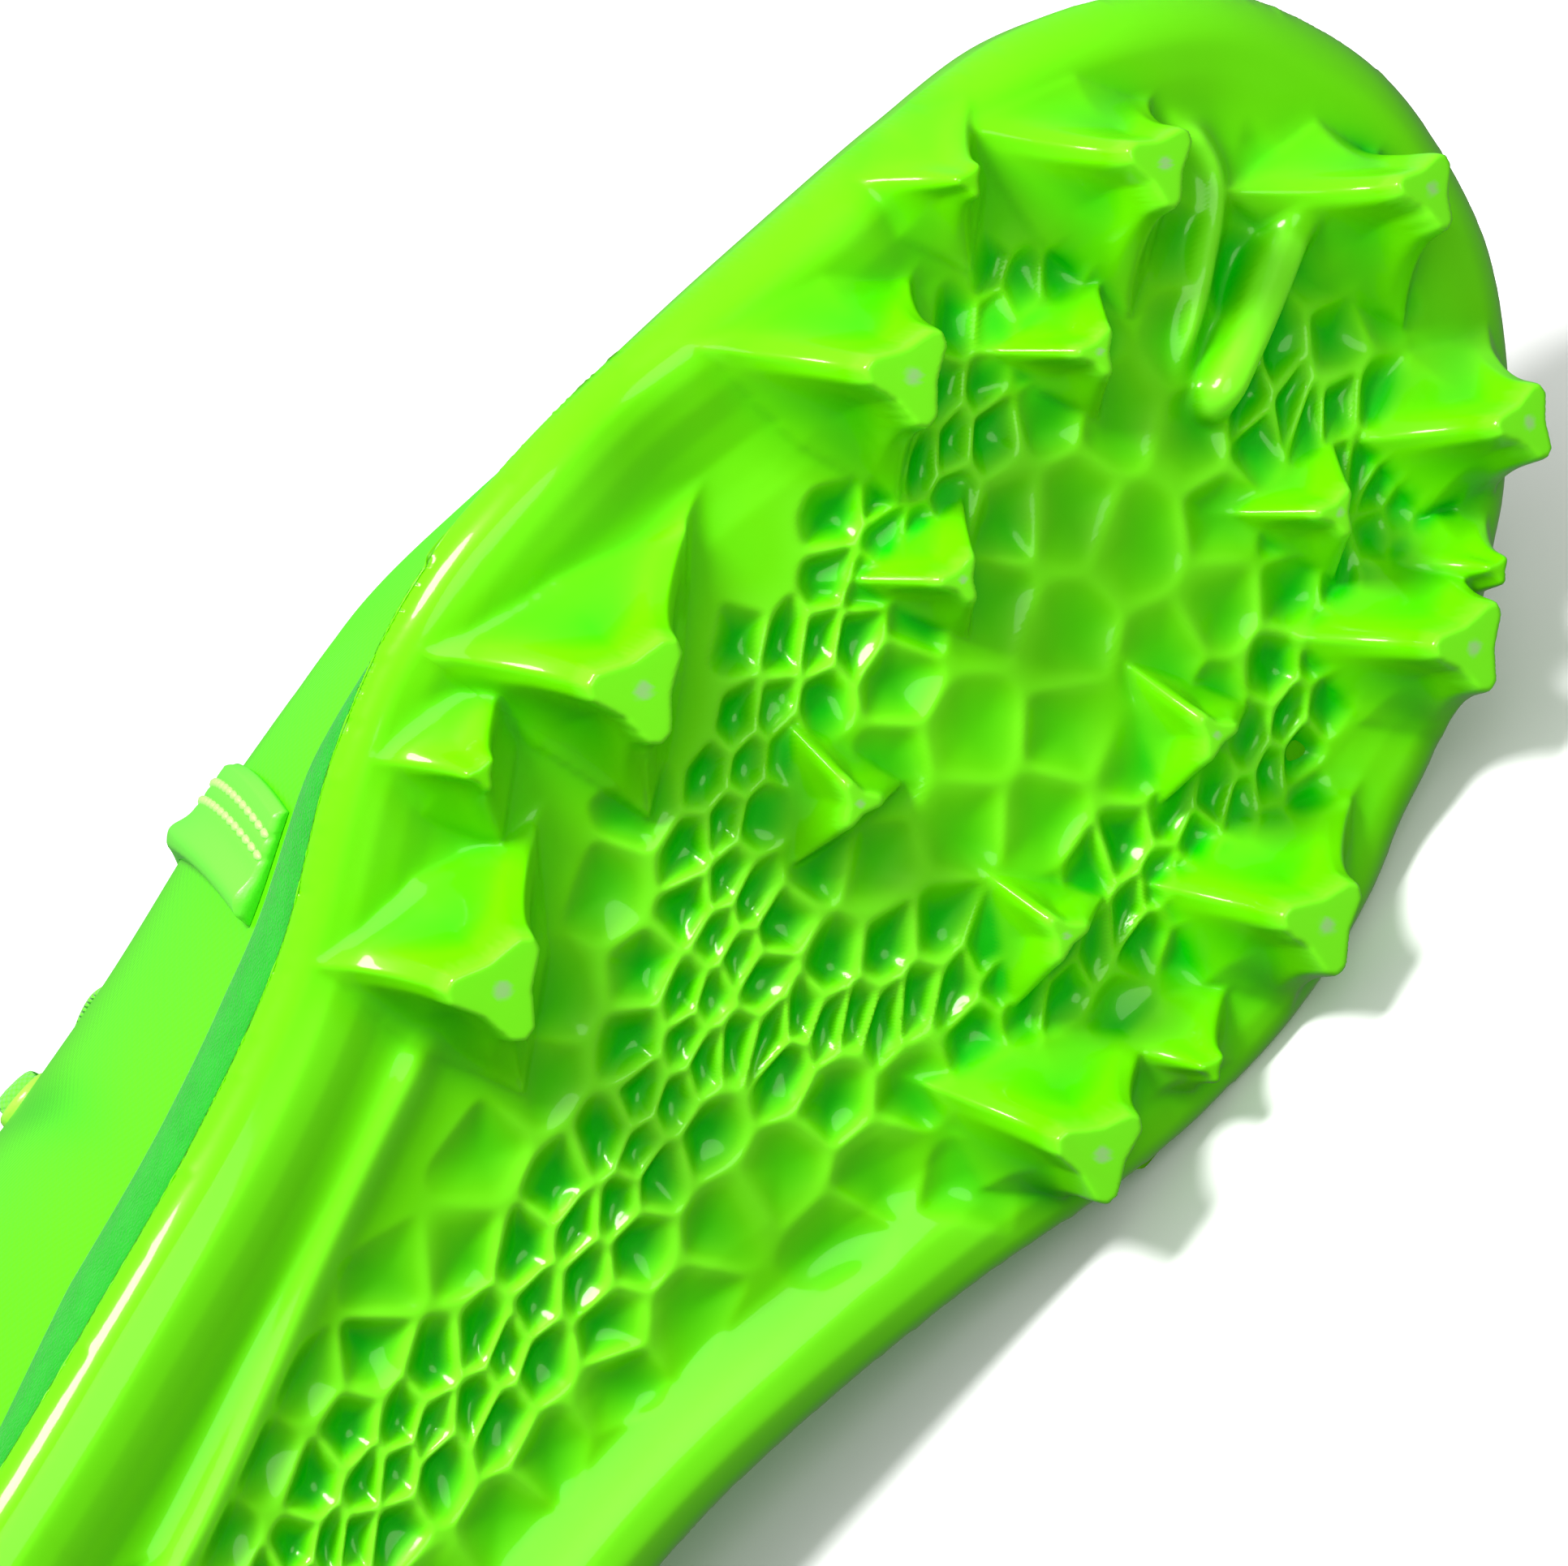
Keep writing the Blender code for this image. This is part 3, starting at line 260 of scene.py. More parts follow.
# Ribs on the plate, as shares of length and ball width
RIB_COLUMNS = ("along", "across", "swell")
OUTER_RAIL = (
    (0.120, 0.245, 0.00),
    (0.200, 0.262, 0.75),
    (0.320, 0.262, 1.00),
    (0.420, 0.275, 1.00),
    (0.500, 0.305, 0.90),
    (0.560, 0.345, 0.00),
)
INNER_RAIL = (
    (0.120, -0.205, 0.00),
    (0.200, -0.220, 0.75),
    (0.320, -0.205, 1.00),
    (0.420, -0.200, 1.00),
    (0.520, -0.235, 1.00),
    (0.620, -0.320, 0.00),
)
OUTER_RIB = (
    (0.200, 0.125, 0.00),
    (0.300, 0.135, 0.90),
    (0.364, 0.152, 1.00),
    (0.420, 0.182, 1.00),
    (0.463, 0.210, 1.00),
    (0.522, 0.250, 1.00),
    (0.556, 0.275, 0.00),
)
FLEX_RIB = (
    (0.862, -0.008, 0.00),
    (0.872, -0.005, 1.00),
    (0.900, 0.006, 1.00),
    (0.926, 0.018, 1.00),
    (0.938, 0.023, 0.00),
)
FLEX_GROOVE = (
    (0.862, 0.018, 0.40),
    (0.880, 0.028, 1.00),
    (0.901, 0.042, 1.00),
    (0.922, 0.060, 1.00),
    (0.934, 0.070, 0.00),
)

# The ridge that curls round the flex rib
CURL = (
    (0.866, 0.034, 0.30),
    (0.896, 0.071, 1.00),
    (0.915, 0.092, 1.00),
    (0.925, 0.115, 1.00),
    (0.929, 0.145, 1.00),
    (0.927, 0.170, 0.50),
)

# Ribs with their half widths and heights in millimetres, and how flat their crests are
RIBS = (
    (OUTER_RAIL, 6.0, 1.2, 3.0),
    (INNER_RAIL, 4.6, 1.9, 3.0),
    (OUTER_RIB, 2.3, 1.7, 2.0),
    (FLEX_RIB, 2.2, 3.0, 6.0),
    (CURL, 1.5, 1.9, 2.0),
)
GROOVE = (FLEX_GROOVE, 2.6, -1.0, 2.0)
RIB_POINTS = 160
RIB_REACH = 2.5
RIB_SOFTNESS = 0.3

# Field of cells on the sole: how far it reaches to each side, as shares of ball width
FIELD_COLUMNS = ("along", "outer", "inner")
FIELD = (
    (0.100, 0.10, -0.08),
    (0.180, 0.17, -0.13),
    (0.300, 0.170, -0.135),
    (0.420, 0.165, -0.155),
    (0.500, 0.175, -0.185),
    (0.560, 0.200, -0.240),
    (0.620, 0.250, -0.290),
    (0.680, 0.250, -0.330),
    (0.740, 0.270, -0.345),
    (0.800, 0.300, -0.350),
    (0.850, 0.270, -0.345),
    (0.890, 0.180, -0.310),
    (0.925, 0.100, -0.200),
    (0.945, 0.020, -0.100),
)

# Streams of small cells: the line that each follows
STREAM_COLUMNS = ("along", "across")
OUTER_STREAM = (
    (0.860, 0.236),
    (0.821, 0.215),
    (0.760, 0.196),
    (0.730, 0.188),
    (0.682, 0.182),
    (0.655, 0.159),
    (0.626, 0.082),
    (0.600, 0.049),
    (0.559, 0.018),
    (0.510, 0.001),
    (0.465, -0.005),
    (0.410, 0.025),
    (0.330, 0.030),
    (0.240, 0.020),
    (0.150, 0.015),
)
INNER_STREAM = (
    (0.880, -0.052),
    (0.885, -0.147),
    (0.882, -0.237),
    (0.855, -0.260),
    (0.798, -0.272),
    (0.774, -0.282),
    (0.741, -0.246),
    (0.712, -0.237),
    (0.684, -0.203),
    (0.661, -0.137),
    (0.634, -0.072),
    (0.604, -0.006),
)

# Cells: how wide one is at a distance from the nearest stream, in millimetres, and how far
# one of a width is drawn out, at an angle from the toe to the outer side
CELL_WIDTHS = ((0.0, 3.0), (2.0, 3.2), (4.5, 4.8), (7.0, 7.0), (10.0, 9.0), (15.0, 10.5))
CELL_STRETCH = ((3.0, 1.8), (4.5, 1.5), (7.0, 1.15), (10.0, 1.05))
CELL_LEAN = radians(20)
STREAM_POINTS = 400
STREAM_SKIP = 4

# How the cells' middles are drawn and then evened out, with lengths in millimetres
CELL_DRAW = 11
CELL_TRIES = 14000
CELL_BORDER = 8.0
CELL_MARGIN = 9.0
CELL_SPACING = 0.42
CELL_EVENING = 4
EVENING_SPOTS = 26000
EVENING_PARTS = 20
EVENING_POWER = 2.6
CELL_NEIGHBOURS = 5

# Bowls: depth by the width of the cell, in millimetres, and the form of their sides
BOWL_DEPTHS = ((2.6, 1.4), (3.6, 2.0), (5.0, 2.3), (6.5, 1.8), (8.0, 1.1), (10.0, 0.8))
BOWL_TILT = 1.3
BOWL_CORNERS = 9.0
BOWL_ROUNDNESS = 1.9
BOWL_FULL = 2.2
BOWL_REACH = 1.2
NEIGHBOUR_REACH = 2.6
TILTED_WIDTHS = (4.5, 8.0)

# Rise of the plate by the distance from its edge, in millimetres: a full bead, then a trough
EDGE_SWELL = (
    (0.0, 0.0),
    (2.5, 0.6),
    (5.0, 0.9),
    (8.0, 0.6),
    (11.0, -0.1),
    (14.0, -0.5),
    (17.0, -0.3),
    (20.0, 0.0),
)
EDGE_SWELL_ALONG = ((0.0, 0.4), (0.3, 0.8), (0.6, 1.0), (0.86, 1.0), (0.95, 0.5), (1.0, 0.4))

# Scoops between the studs along the edge: place, turn, length and width in millimetres, depth
SCOOP_COLUMNS = ("along", "across", "turn", "length", "width", "depth")
SCOOPS = (
    (0.845, 0.300, 25, 22, 9, 1.6),
    (0.728, 0.400, 12, 24, 11, 2.0),
    (0.612, 0.330, 4, 20, 7, 1.4),
    (0.880, -0.270, -20, 14, 5, 1.2),
    (0.797, -0.360, -10, 14, 7, 1.6),
    (0.697, -0.350, 0, 14, 7, 1.4),
    (0.915, 0.100, 60, 12, 7, 1.0),
)

# Overlays on the upper: the line each edge follows, as shares of the way round and up
BAND_COLUMNS = ("up", "round")
OUTER_BAND = ((0.03, 0.535), (0.35, 0.560), (0.62, 0.585), (0.80, 0.598))
INNER_BAND = ((0.03, 0.500), (0.35, 0.520), (0.62, 0.555), (0.80, 0.580))
COUNTER_EDGE = ((0.08, 0.310), (0.25, 0.360), (0.42, 0.415), (0.55, 0.425), (0.68, 0.370))
BAND_WIDTH = 11.0
BAND_STITCHES = (0.12, 0.50)
BAND_BACK = 0.1
COUNTER_TRIM = 0.045
PIPING = 1.7
OVERLAY_GAP = 0.4

# Tongue, eyelets and lace
TONGUE_SPAN = (0.80, 0.50)
TONGUE_UPS = (0.70, 0.85, 1.0)
TONGUE_AHEAD = 0.08
TONGUE_ROWS = 11
TONGUE_TOP = (
    (0.35, 20, 0.74),
    (0.70, 35, 0.64),
    (1.00, 50, 0.46),
)
TONGUE_THICKNESS = 3.5
TONGUE_STAND = 24.0
TONGUE_CROWN = 0.10
TONGUE_GRID = (150, 70)
QUILT_ROWS = 11
QUILT_DEPTH = 0.12
EYELET_DIAMETER = 4.2
EYELET_RING = 1.5
EYELET_SLEEVE = 2.0
EYELET_GAP = 0.25
EYELET_INSET = 8.5
EYELET_PAIRS = 6
EYELET_SPAN = (0.505, 0.745)
LACE_CLEARANCE = 1.4
LACE_TURN = 0.25
LACE_TUCK = 3.5
LACE_EXIT = 0.9
LACE_OVER = 0.8
LACE_UNDER = 0.5
LACE_THICKNESS = 1.3
LACE_POINTS = 90

# Creases of the upper: which side (0 for both), place, length, width and height in
# millimetres, and the turn from the shoe's length in degrees
CREASE_COLUMNS = ("side", "round", "up", "turn", "length", "width", "height")
CREASES = (
    (OUTER, 0.735, 0.62, 62, 22, 3.2, -0.7),
    (OUTER, 0.755, 0.60, 58, 20, 4.0, 0.5),
    (OUTER, 0.775, 0.64, 55, 18, 3.0, -0.6),
    (INNER, 0.730, 0.60, 64, 22, 3.2, -0.7),
    (INNER, 0.752, 0.60, 58, 20, 4.0, 0.5),
    (INNER, 0.775, 0.62, 54, 18, 3.0, -0.5),
    (0, 0.470, 0.45, 75, 26, 5.0, -0.5),
    (0, 0.300, 0.80, 4, 40, 3.0, -0.6),
    (OUTER, 0.640, 0.30, 8, 30, 6.0, 0.5),
    (INNER, 0.620, 0.35, -6, 26, 6.0, -0.4),
)
SIDE_LENGTH = 72.0
RAND_SWELL = 0.25

# Mesh of the upper, its rolled top edge, and how the middle of the vamp is rounded
UPPER_STATIONS = 380
UPPER_ROWS = 79
LINING_STEP = 3
ROLL_POINTS = 9
ROLL_HEIGHT = 2.0
RIDGE_REACH = 16.0
RIDGE_ROUNDS = 60
RIDGE_PULL = 0.6

# How the sole's surface is sampled: pitch of the rasters, rows and columns of the mesh, and
# how much coarser each stage of its mesh is, with the rounds that even it out
RASTER_PITCH = 0.2
COARSE_PITCH = 1.0
OUTLINE_POINTS = 1400
PROFILE_POINTS = 60
RIM_STATIONS = 90
SOLE_ROWS = 850
SOLE_COLUMNS = 264
RELAX_STAGES = ((8, 500), (4, 160), (2, 80), (1, 30))
RASTER_LOW = (-60.0, -4.0)
RASTER_HIGH = (62.0, 301.0)
HEEL_ARC = 0.10
TOE_ARC = 0.90
SOLE_CUTS = (("outsole_heel", 0.0, 0.335), ("outsole_waist", 0.335, 0.635), ("outsole_forefoot", 0.635, 1.0))

# Softening of the sole's fields in millimetres, how far round the painted shade and painted highlight are
# read, and the shares of painted shade in the cells and hollows and of painted highlight on the crests
SLOPE_SOFTNESS = 0.6
NEED_SOFTNESS = 0.7
PAINTED_SHADE_AND_HIGHLIGHT_REACH = 2.2
CELL_PAINTED_SHADE = 0.75
HOLLOW_PAINTED_SHADE = 0.45
CREST_PAINTED_HIGHLIGHT = 1.3

# Finishes: tints of the shine and of the clear skin, fixed colours, and the waves of the
# moulded skin in millimetres
SHINE_TINT = (0.85, 1.0, 0.4, 1.0)
COAT_TINT = (0.9, 1.0, 0.6, 1.0)
GATE_COLOUR = "#8FC878"
NAP_COLOUR = "#20AC22"
PAPER_COLOUR = "#FDFDFC"
FLOW_WAVE = 6.0
FLOW_DEPTH = 0.4

# Stage: the photograph's width in pixels and its pixels to a millimetre, the way to the camera
# from straight below the sole, and the light, with lengths in millimetres but for the floor
# and the softboxes, which are in metres
PHOTO_WIDTH = 1932
PHOTO_SCALE = 12.9
FILM_WIDTH = 36.0
VIEW_ASIDE = radians(27)
VIEW_BEHIND = radians(10)
VIEW_ROLL = radians(-54)
VIEW_DISTANCE = 900.0
VIEW_TARGET = (14.0, 200.0, 12.0)
SOFTBOXES = (
    ("key_softbox", (-0.64, 0.64, 0.80), 0.26, 7.6),
    ("fill_softbox", (0.25, 0.2, 1.0), 0.5, 2.2),
)
LIGHT_DISTANCE = 700.0
LIGHT_TARGET = (0.0, 180.0, 20.0)
LIGHT_LOWEST = 0.15
SKY_HEIGHTS = (-0.3, 0.9)
SKY_STRENGTHS = (0.19, 0.62)
FLOOR_REACH = 6.0


def linear(hex_colour):
    """An sRGB hex colour as linear RGBA."""
    parts = [int(hex_colour[i : i + 2], 16) / 255 for i in (1, 3, 5)]
    return tuple(p / 12.92 if p <= 0.04045 else ((p + 0.055) / 1.055) ** 2.4 for p in parts) + (1.0,)


def table_column(table, columns, name):
    """One named column of a table, as an array."""
    place = columns.index(name)
    return np.array([row[place] for row in table], float)


def smooth_through(knots, values, wanted):
    """Reads a smooth curve through the rows: each row's slope comes from its neighbours."""
    knots, values = np.asarray(knots, float), np.asarray(values, float)
    wanted = np.clip(np.asarray(wanted, float), knots[0], knots[-1])
    slopes = np.gradient(values, knots)
    low = np.clip(np.searchsorted(knots, wanted) - 1, 0, len(knots) - 2)
    span = knots[low + 1] - knots[low]
    part = (wanted - knots[low]) / span
    square, cube = part**2, part**3
    return (
        (2 * cube - 3 * square + 1) * values[low]
        + (cube - 2 * square + part) * slopes[low] * span
        + (3 * square - 2 * cube) * values[low + 1]
        + (cube - square) * slopes[low + 1] * span
    )


def read_table(table, columns, name, wanted):
    """A column read smoothly at places in the table's first column."""
    knots = table_column(table, columns, columns[0])
    return smooth_through(knots, table_column(table, columns, name), wanted)


def read_pairs(pairs, wanted):
    """A list of places and values, read in straight lines."""
    places, values = zip(*pairs)
    return np.interp(wanted, places, values)


def smooth_step(low, high, value):
    """Runs from 0 at low to 1 at high, level at both ends."""
    part = np.clip((value - low) / (high - low), 0, 1)
    return part * part * (3 - 2 * part)


def unit(vectors):
    """Directions of vectors, each of length 1."""
    return vectors / np.maximum(np.linalg.norm(vectors, axis=-1, keepdims=True), EXACT)


def closed_outline():
    """The plate's outline as a closed loop of rows, outer side from heel to toe and back."""
    along = table_column(OUTLINE, OUTLINE_COLUMNS, "along") * SHOE_LENGTH
    outer = table_column(OUTLINE, OUTLINE_COLUMNS, "outer") * BALL_WIDTH
    inner = table_column(OUTLINE, OUTLINE_COLUMNS, "inner") * BALL_WIDTH
    steps = (np.hypot(np.diff(along), np.diff(outer)) + np.hypot(np.diff(along), np.diff(inner))) / 2
    rounds = np.concatenate([[0], np.cumsum(steps)]) / steps.sum()
    loop_rounds = np.concatenate([rounds, 2 - rounds[-2:0:-1]])
    loop_x = np.concatenate([outer, inner[-2:0:-1]])
    loop_y = np.concatenate([along, along[-2:0:-1]])
    before, after = slice(-3, None), slice(0, 4)
    knots = np.concatenate([loop_rounds[before] - 2, loop_rounds, loop_rounds[after] + 2])
    xs = np.concatenate([loop_x[before], loop_x, loop_x[after]])
    ys = np.concatenate([loop_y[before], loop_y, loop_y[after]])
    return knots, xs, ys, steps.sum()


*OUTLINE_LOOP, HALF_ROUND_LENGTH = closed_outline()


def loop_at(places, inset=0.0):
    """Points and outward directions at places 0 to 2 round the whole outline."""
    knots, xs, ys = OUTLINE_LOOP
    x, y = smooth_through(knots, xs, places), smooth_through(knots, ys, places)
    run_x = smooth_through(knots, xs, places + STEP) - smooth_through(knots, xs, places - STEP)
    run_y = smooth_through(knots, ys, places + STEP) - smooth_through(knots, ys, places - STEP)
    length = np.hypot(run_x, run_y)
    out = np.stack([run_y / length, -run_x / length], axis=-1)
    return np.stack([x, y], axis=-1) - out * np.asarray(inset)[..., None], out


def outline_at(side, rounds, inset=0.0):
    """Points and outward directions on one side of the outline, moved in by inset."""
    rounds = np.asarray(rounds, float)
    return loop_at(rounds if side == OUTER else 2 - rounds, inset)


def underside_height(y):
    """Height of the plate's underside over the ground at a distance from the heel."""
    rise = read_table(UNDERSIDE, UNDERSIDE_COLUMNS, "rise", np.asarray(y) / SHOE_LENGTH)
    return LARGE_STUD_HEIGHT + TOE_SPRING * rise


def underside_slope(y):
    """How steeply the underside rises to the toe."""
    step = STEP * SHOE_LENGTH
    return (underside_height(y + step) - underside_height(y - step)) / (2 * step)


def follow_underside(points):
    """Moves points of a flat layer up to the underside's curve."""
    points = np.array(points, float)
    points[..., 2] += underside_height(points[..., 1])
    return points


def rim_rise(rounds):
    """Height of the plate's rim over its floor."""
    rise = np.clip(read_table(EDGE, EDGE_COLUMNS, "rim", rounds), 0, 1) * TOE_RIM_HEIGHT
    return np.where((rounds > RIM_GAP[0]) & (rounds < RIM_GAP[1]), 0.0, rise)


def rand_rise(rounds):
    """Height of the rand over the midsole's floor."""
    return np.clip(read_table(EDGE, EDGE_COLUMNS, "rand", rounds), 0, 1) * RAND_HEIGHT


def board_inset(rounds):
    """How far the midsole's edge lies in from the plate's outline."""
    tuck = np.clip(read_table(EDGE, EDGE_COLUMNS, "tuck", rounds), 0, 1)
    return BOARD_INSET + (RIM_WALL + FIT_GAP) * tuck


MIDSOLE_BASE = PLATE_THICKNESS + FIT_GAP
MIDSOLE_TOP = MIDSOLE_BASE + MIDSOLE_THICKNESS


def upper_face(side, rounds, up):
    """The upper's outer face: a curve from its lasted edge to the top line at each place."""
    inset = board_inset(rounds) + UPPER_TUCK
    foot, out = outline_at(side, rounds, inset)
    base = MIDSOLE_TOP + rand_rise(rounds) + FIT_GAP

    def column(name):
        return read_table(UPPER, UPPER_COLUMNS, name, rounds)

    half = np.where(rounds >= THROAT_END - EXACT, 0, np.maximum(column("half"), 0)) * BALL_WIDTH
    centre = column("centre") * BALL_WIDTH
    top = np.stack([centre + side * half, column("along") * SHOE_LENGTH], axis=-1)
    rise = column("heel_part") * HEEL_HEIGHT + column("instep_part") * INSTEP_HEIGHT
    height = rise - base
    crown = column("crown") * (OUTER_CROWN if side == OUTER else 1)
    slim = read_pairs(OUTER_SLIM, rounds) if side == OUTER else 0.0
    low = foot + out * ((column("bulge") - slim) * SIDE_BULGE)[..., None]
    lean_out = SIDE_BULGE / 2 * (1 - crown) ** 2
    high = top + (foot - top) * crown[..., None] + out * lean_out[..., None]
    corners = [
        np.concatenate([foot, base[..., None]], axis=-1),
        np.concatenate([low, (base + 0.5 * height)[..., None]], axis=-1),
        np.concatenate([high, (rise - column("drop") * height)[..., None]], axis=-1),
        np.concatenate([top, rise[..., None]], axis=-1),
    ]
    up = up[..., None]
    weights = [(1 - up) ** 3, 3 * up * (1 - up) ** 2, 3 * up**2 * (1 - up), up**3]
    return follow_underside(sum(weight * corner for weight, corner in zip(weights, corners)))


def upper_point(side, rounds, up, out=0.0):
    """Points on the upper's outer face, or a distance out from it, by way round and way up."""
    rounds, up = np.broadcast_arrays(np.asarray(rounds, float), np.asarray(up, float))
    above, below = np.minimum(up + STEP, 1), np.maximum(up - STEP, 0)
    ahead, behind = np.minimum(rounds + STEP, 1), np.maximum(rounds - STEP, 0)
    higher = upper_face(side, rounds, above) - upper_face(side, rounds, below)
    further = upper_face(side, ahead, up) - upper_face(side, behind, up)
    normal = np.cross(further, higher) * side
    normal[..., 0] = np.where((rounds <= 0) | (rounds >= 1), 0, normal[..., 0])
    over_ridge = np.stack([np.zeros(up.shape), -further[..., 2], further[..., 1]], axis=-1)
    on_ridge = (rounds >= THROAT_END - EXACT) & (up >= 1)
    normal = np.where(on_ridge[..., None], over_ridge, normal)
    return upper_face(side, rounds, up) + unit(normal) * np.asarray(out)[..., None]


def wall_at(rounds, up):
    """Thickness of the upper: thicker where the collar is padded."""
    return UPPER_WALL + COLLAR_PADDING * read_pairs(PADDING_ROUND, rounds) * read_pairs(PADDING_UP, up)


def stud_tip(row):
    """Middle of a stud's tip."""
    stud = dict(zip(STUD_COLUMNS, row))
    y = stud["along"] * SHOE_LENGTH
    slope = float(underside_slope(y))
    out = np.array([0, slope, -1]) / np.hypot(slope, 1)
    root = np.array([stud["across"] * BALL_WIDTH, y, float(underside_height(y))])
    return root + out * STUD_KINDS[stud["kind"]][0]


def lie():
    """The turn and shift that lay the shoe where the frame's solids lie."""
    on_side = Matrix(((0, 1, 0), (0, 0, 1), (1, 0, 0)))
    turn = np.array(Matrix.Rotation(LIE_ROLL, 3, "X") @ Matrix.Rotation(LIE_YAW, 3, "Y") @ on_side)
    mount = next(m for m in frame["record"]["mounts"] if m["name"] == "ball_stud_outer")
    return turn, np.array(mount["pos_m"]) - turn @ stud_tip(STUDS[MOUNT_STUD]) * MM


TURN, SHIFT = lie()


def to_world(points):
    """Points of the shoe, in its own millimetres, where the frame has them in metres."""
    return np.asarray(points, float) @ TURN.T * MM + SHIFT


def grid_faces(rows, columns):
    """Quads between the points of a grid that are listed row by row."""
    i, j = np.meshgrid(np.arange(rows - 1), np.arange(columns - 1), indexing="ij")
    here = i * columns + j
    return np.stack([here, here + 1, here + columns + 1, here + columns], axis=-1).reshape(-1, 4)


def loop_faces(rings, count):
    """Quads between closed rings of points that lie one after the other."""
    i, j = np.meshgrid(np.arange(rings - 1), np.arange(count), indexing="ij")
    here, beside = i * count + j, i * count + (j + 1) % count
    return np.stack([here, beside, beside + count, here + count], axis=-1).reshape(-1, 4)


def joined(*parts):
    """Points and faces of several parts as those of one."""
    points, faces, first = [], [], 0
    for some_points, some_faces in parts:
        points.append(np.reshape(some_points, (-1, 3)))
        faces.append(np.asarray(some_faces) + first)
        first += len(points[-1])
    return np.concatenate(points), np.concatenate(faces)


def merged(points, quads, *fields):
    """Joins points that coincide, and parts the faces into quads and triangles."""
    points = np.reshape(points, (-1, 3))
    _, first, number = np.unique(np.round(points, 3), axis=0, return_index=True, return_inverse=True)
    quads = number.reshape(-1)[quads]
    same = quads == np.roll(quads, -1, axis=1)
    whole = quads[~same.any(axis=1)]
    pinched = quads[same.sum(axis=1) == 1]
    slot = same[same.sum(axis=1) == 1].argmax(axis=1)
    order = (slot[:, None] + 1 + np.arange(3)[None]) % 4
    triangles = np.take_along_axis(pinched, order, axis=1)
    kept = [np.reshape(field, -1)[first] for field in fields]
    return points[first], [whole, triangles], *kept


def build_piece(name, points, faces, material, fields=None, uvs=None):
    """A smooth-shaded object from the shoe's points, with named values at its points."""
    faces = [group for group in (faces if isinstance(faces, list) else [faces]) if len(group)]
    corners = np.concatenate([group.reshape(-1) for group in faces]).astype(np.int32)
    sizes = np.concatenate([np.full(len(group), group.shape[1]) for group in faces]).astype(np.int32)
    mesh = bpy.data.meshes.new(name)
    world = to_world(np.reshape(points, (-1, 3))).astype(np.float32)
    mesh.vertices.add(len(world))
    mesh.vertices.foreach_set("co", world.reshape(-1))
    mesh.loops.add(len(corners))
    mesh.loops.foreach_set("vertex_index", corners)
    mesh.polygons.add(len(sizes))
    mesh.polygons.foreach_set("loop_start", (np.cumsum(sizes) - sizes).astype(np.int32))
    mesh.polygons.foreach_set("loop_total", sizes)
    mesh.update(calc_edges=True)
    for field, values in (fields or {}).items():
        store = mesh.attributes.new(field, "FLOAT", "POINT")
        store.data.foreach_set("value", np.asarray(values, np.float32).reshape(-1))
    if uvs is not None:
        layer = mesh.uv_layers.new(name="millimetres")
        layer.data.foreach_set("uv", np.reshape(uvs, (-1, 2)).astype(np.float32)[corners].reshape(-1))
    mesh.polygons.foreach_set("use_smooth", np.ones(len(sizes), bool))
    mesh.validate()
    model = bmesh.new()
    model.from_mesh(mesh)
    bmesh.ops.recalc_face_normals(model, faces=model.faces)
    model.to_mesh(mesh)
    model.free()
    mesh.materials.append(material)
    made = bpy.data.objects.new(name, mesh)
    bpy.context.scene.collection.objects.link(made)
    return made


def settle(piece, slot, *nodes):
    """Lets a piece ride on the shoe and hides the nodes that it stands for."""
    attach(piece, "root")
    if nodes:
        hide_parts(*nodes)
    return piece


def connect(tree, socket, value):
    """Links a socket to another node's output, or gives it a value."""
    if isinstance(value, bpy.types.NodeSocket):
        tree.links.new(value, socket)
    else:
        socket.default_value = value


def add_node(tree, kind, inputs=None, **settings):
    """Adds a shader node with its settings, and sets or links its inputs."""
    made = tree.nodes.new("ShaderNode" + kind)
    for name, value in settings.items():
        setattr(made, name, value)
    for name, value in (inputs or {}).items():
        connect(tree, made.inputs[name], value)
    return made


def new_material(name):
    """A material with an empty shader tree, and its surface shader."""
    material = bpy.data.materials.new(name)
    material.use_nodes = True
    tree = material.node_tree
    return material, tree, tree.nodes["Principled BSDF"]


def set_shader(tree, shader, values):
    """Sets or links the sockets of a surface shader."""
    for name, value in values.items():
        connect(tree, shader.inputs[name], value)


def mixed(tree, share, first, second):
    """A colour between two others."""
    return add_node(tree, "Mix", {0: share, 6: first, 7: second}, data_type="RGBA").outputs[2]


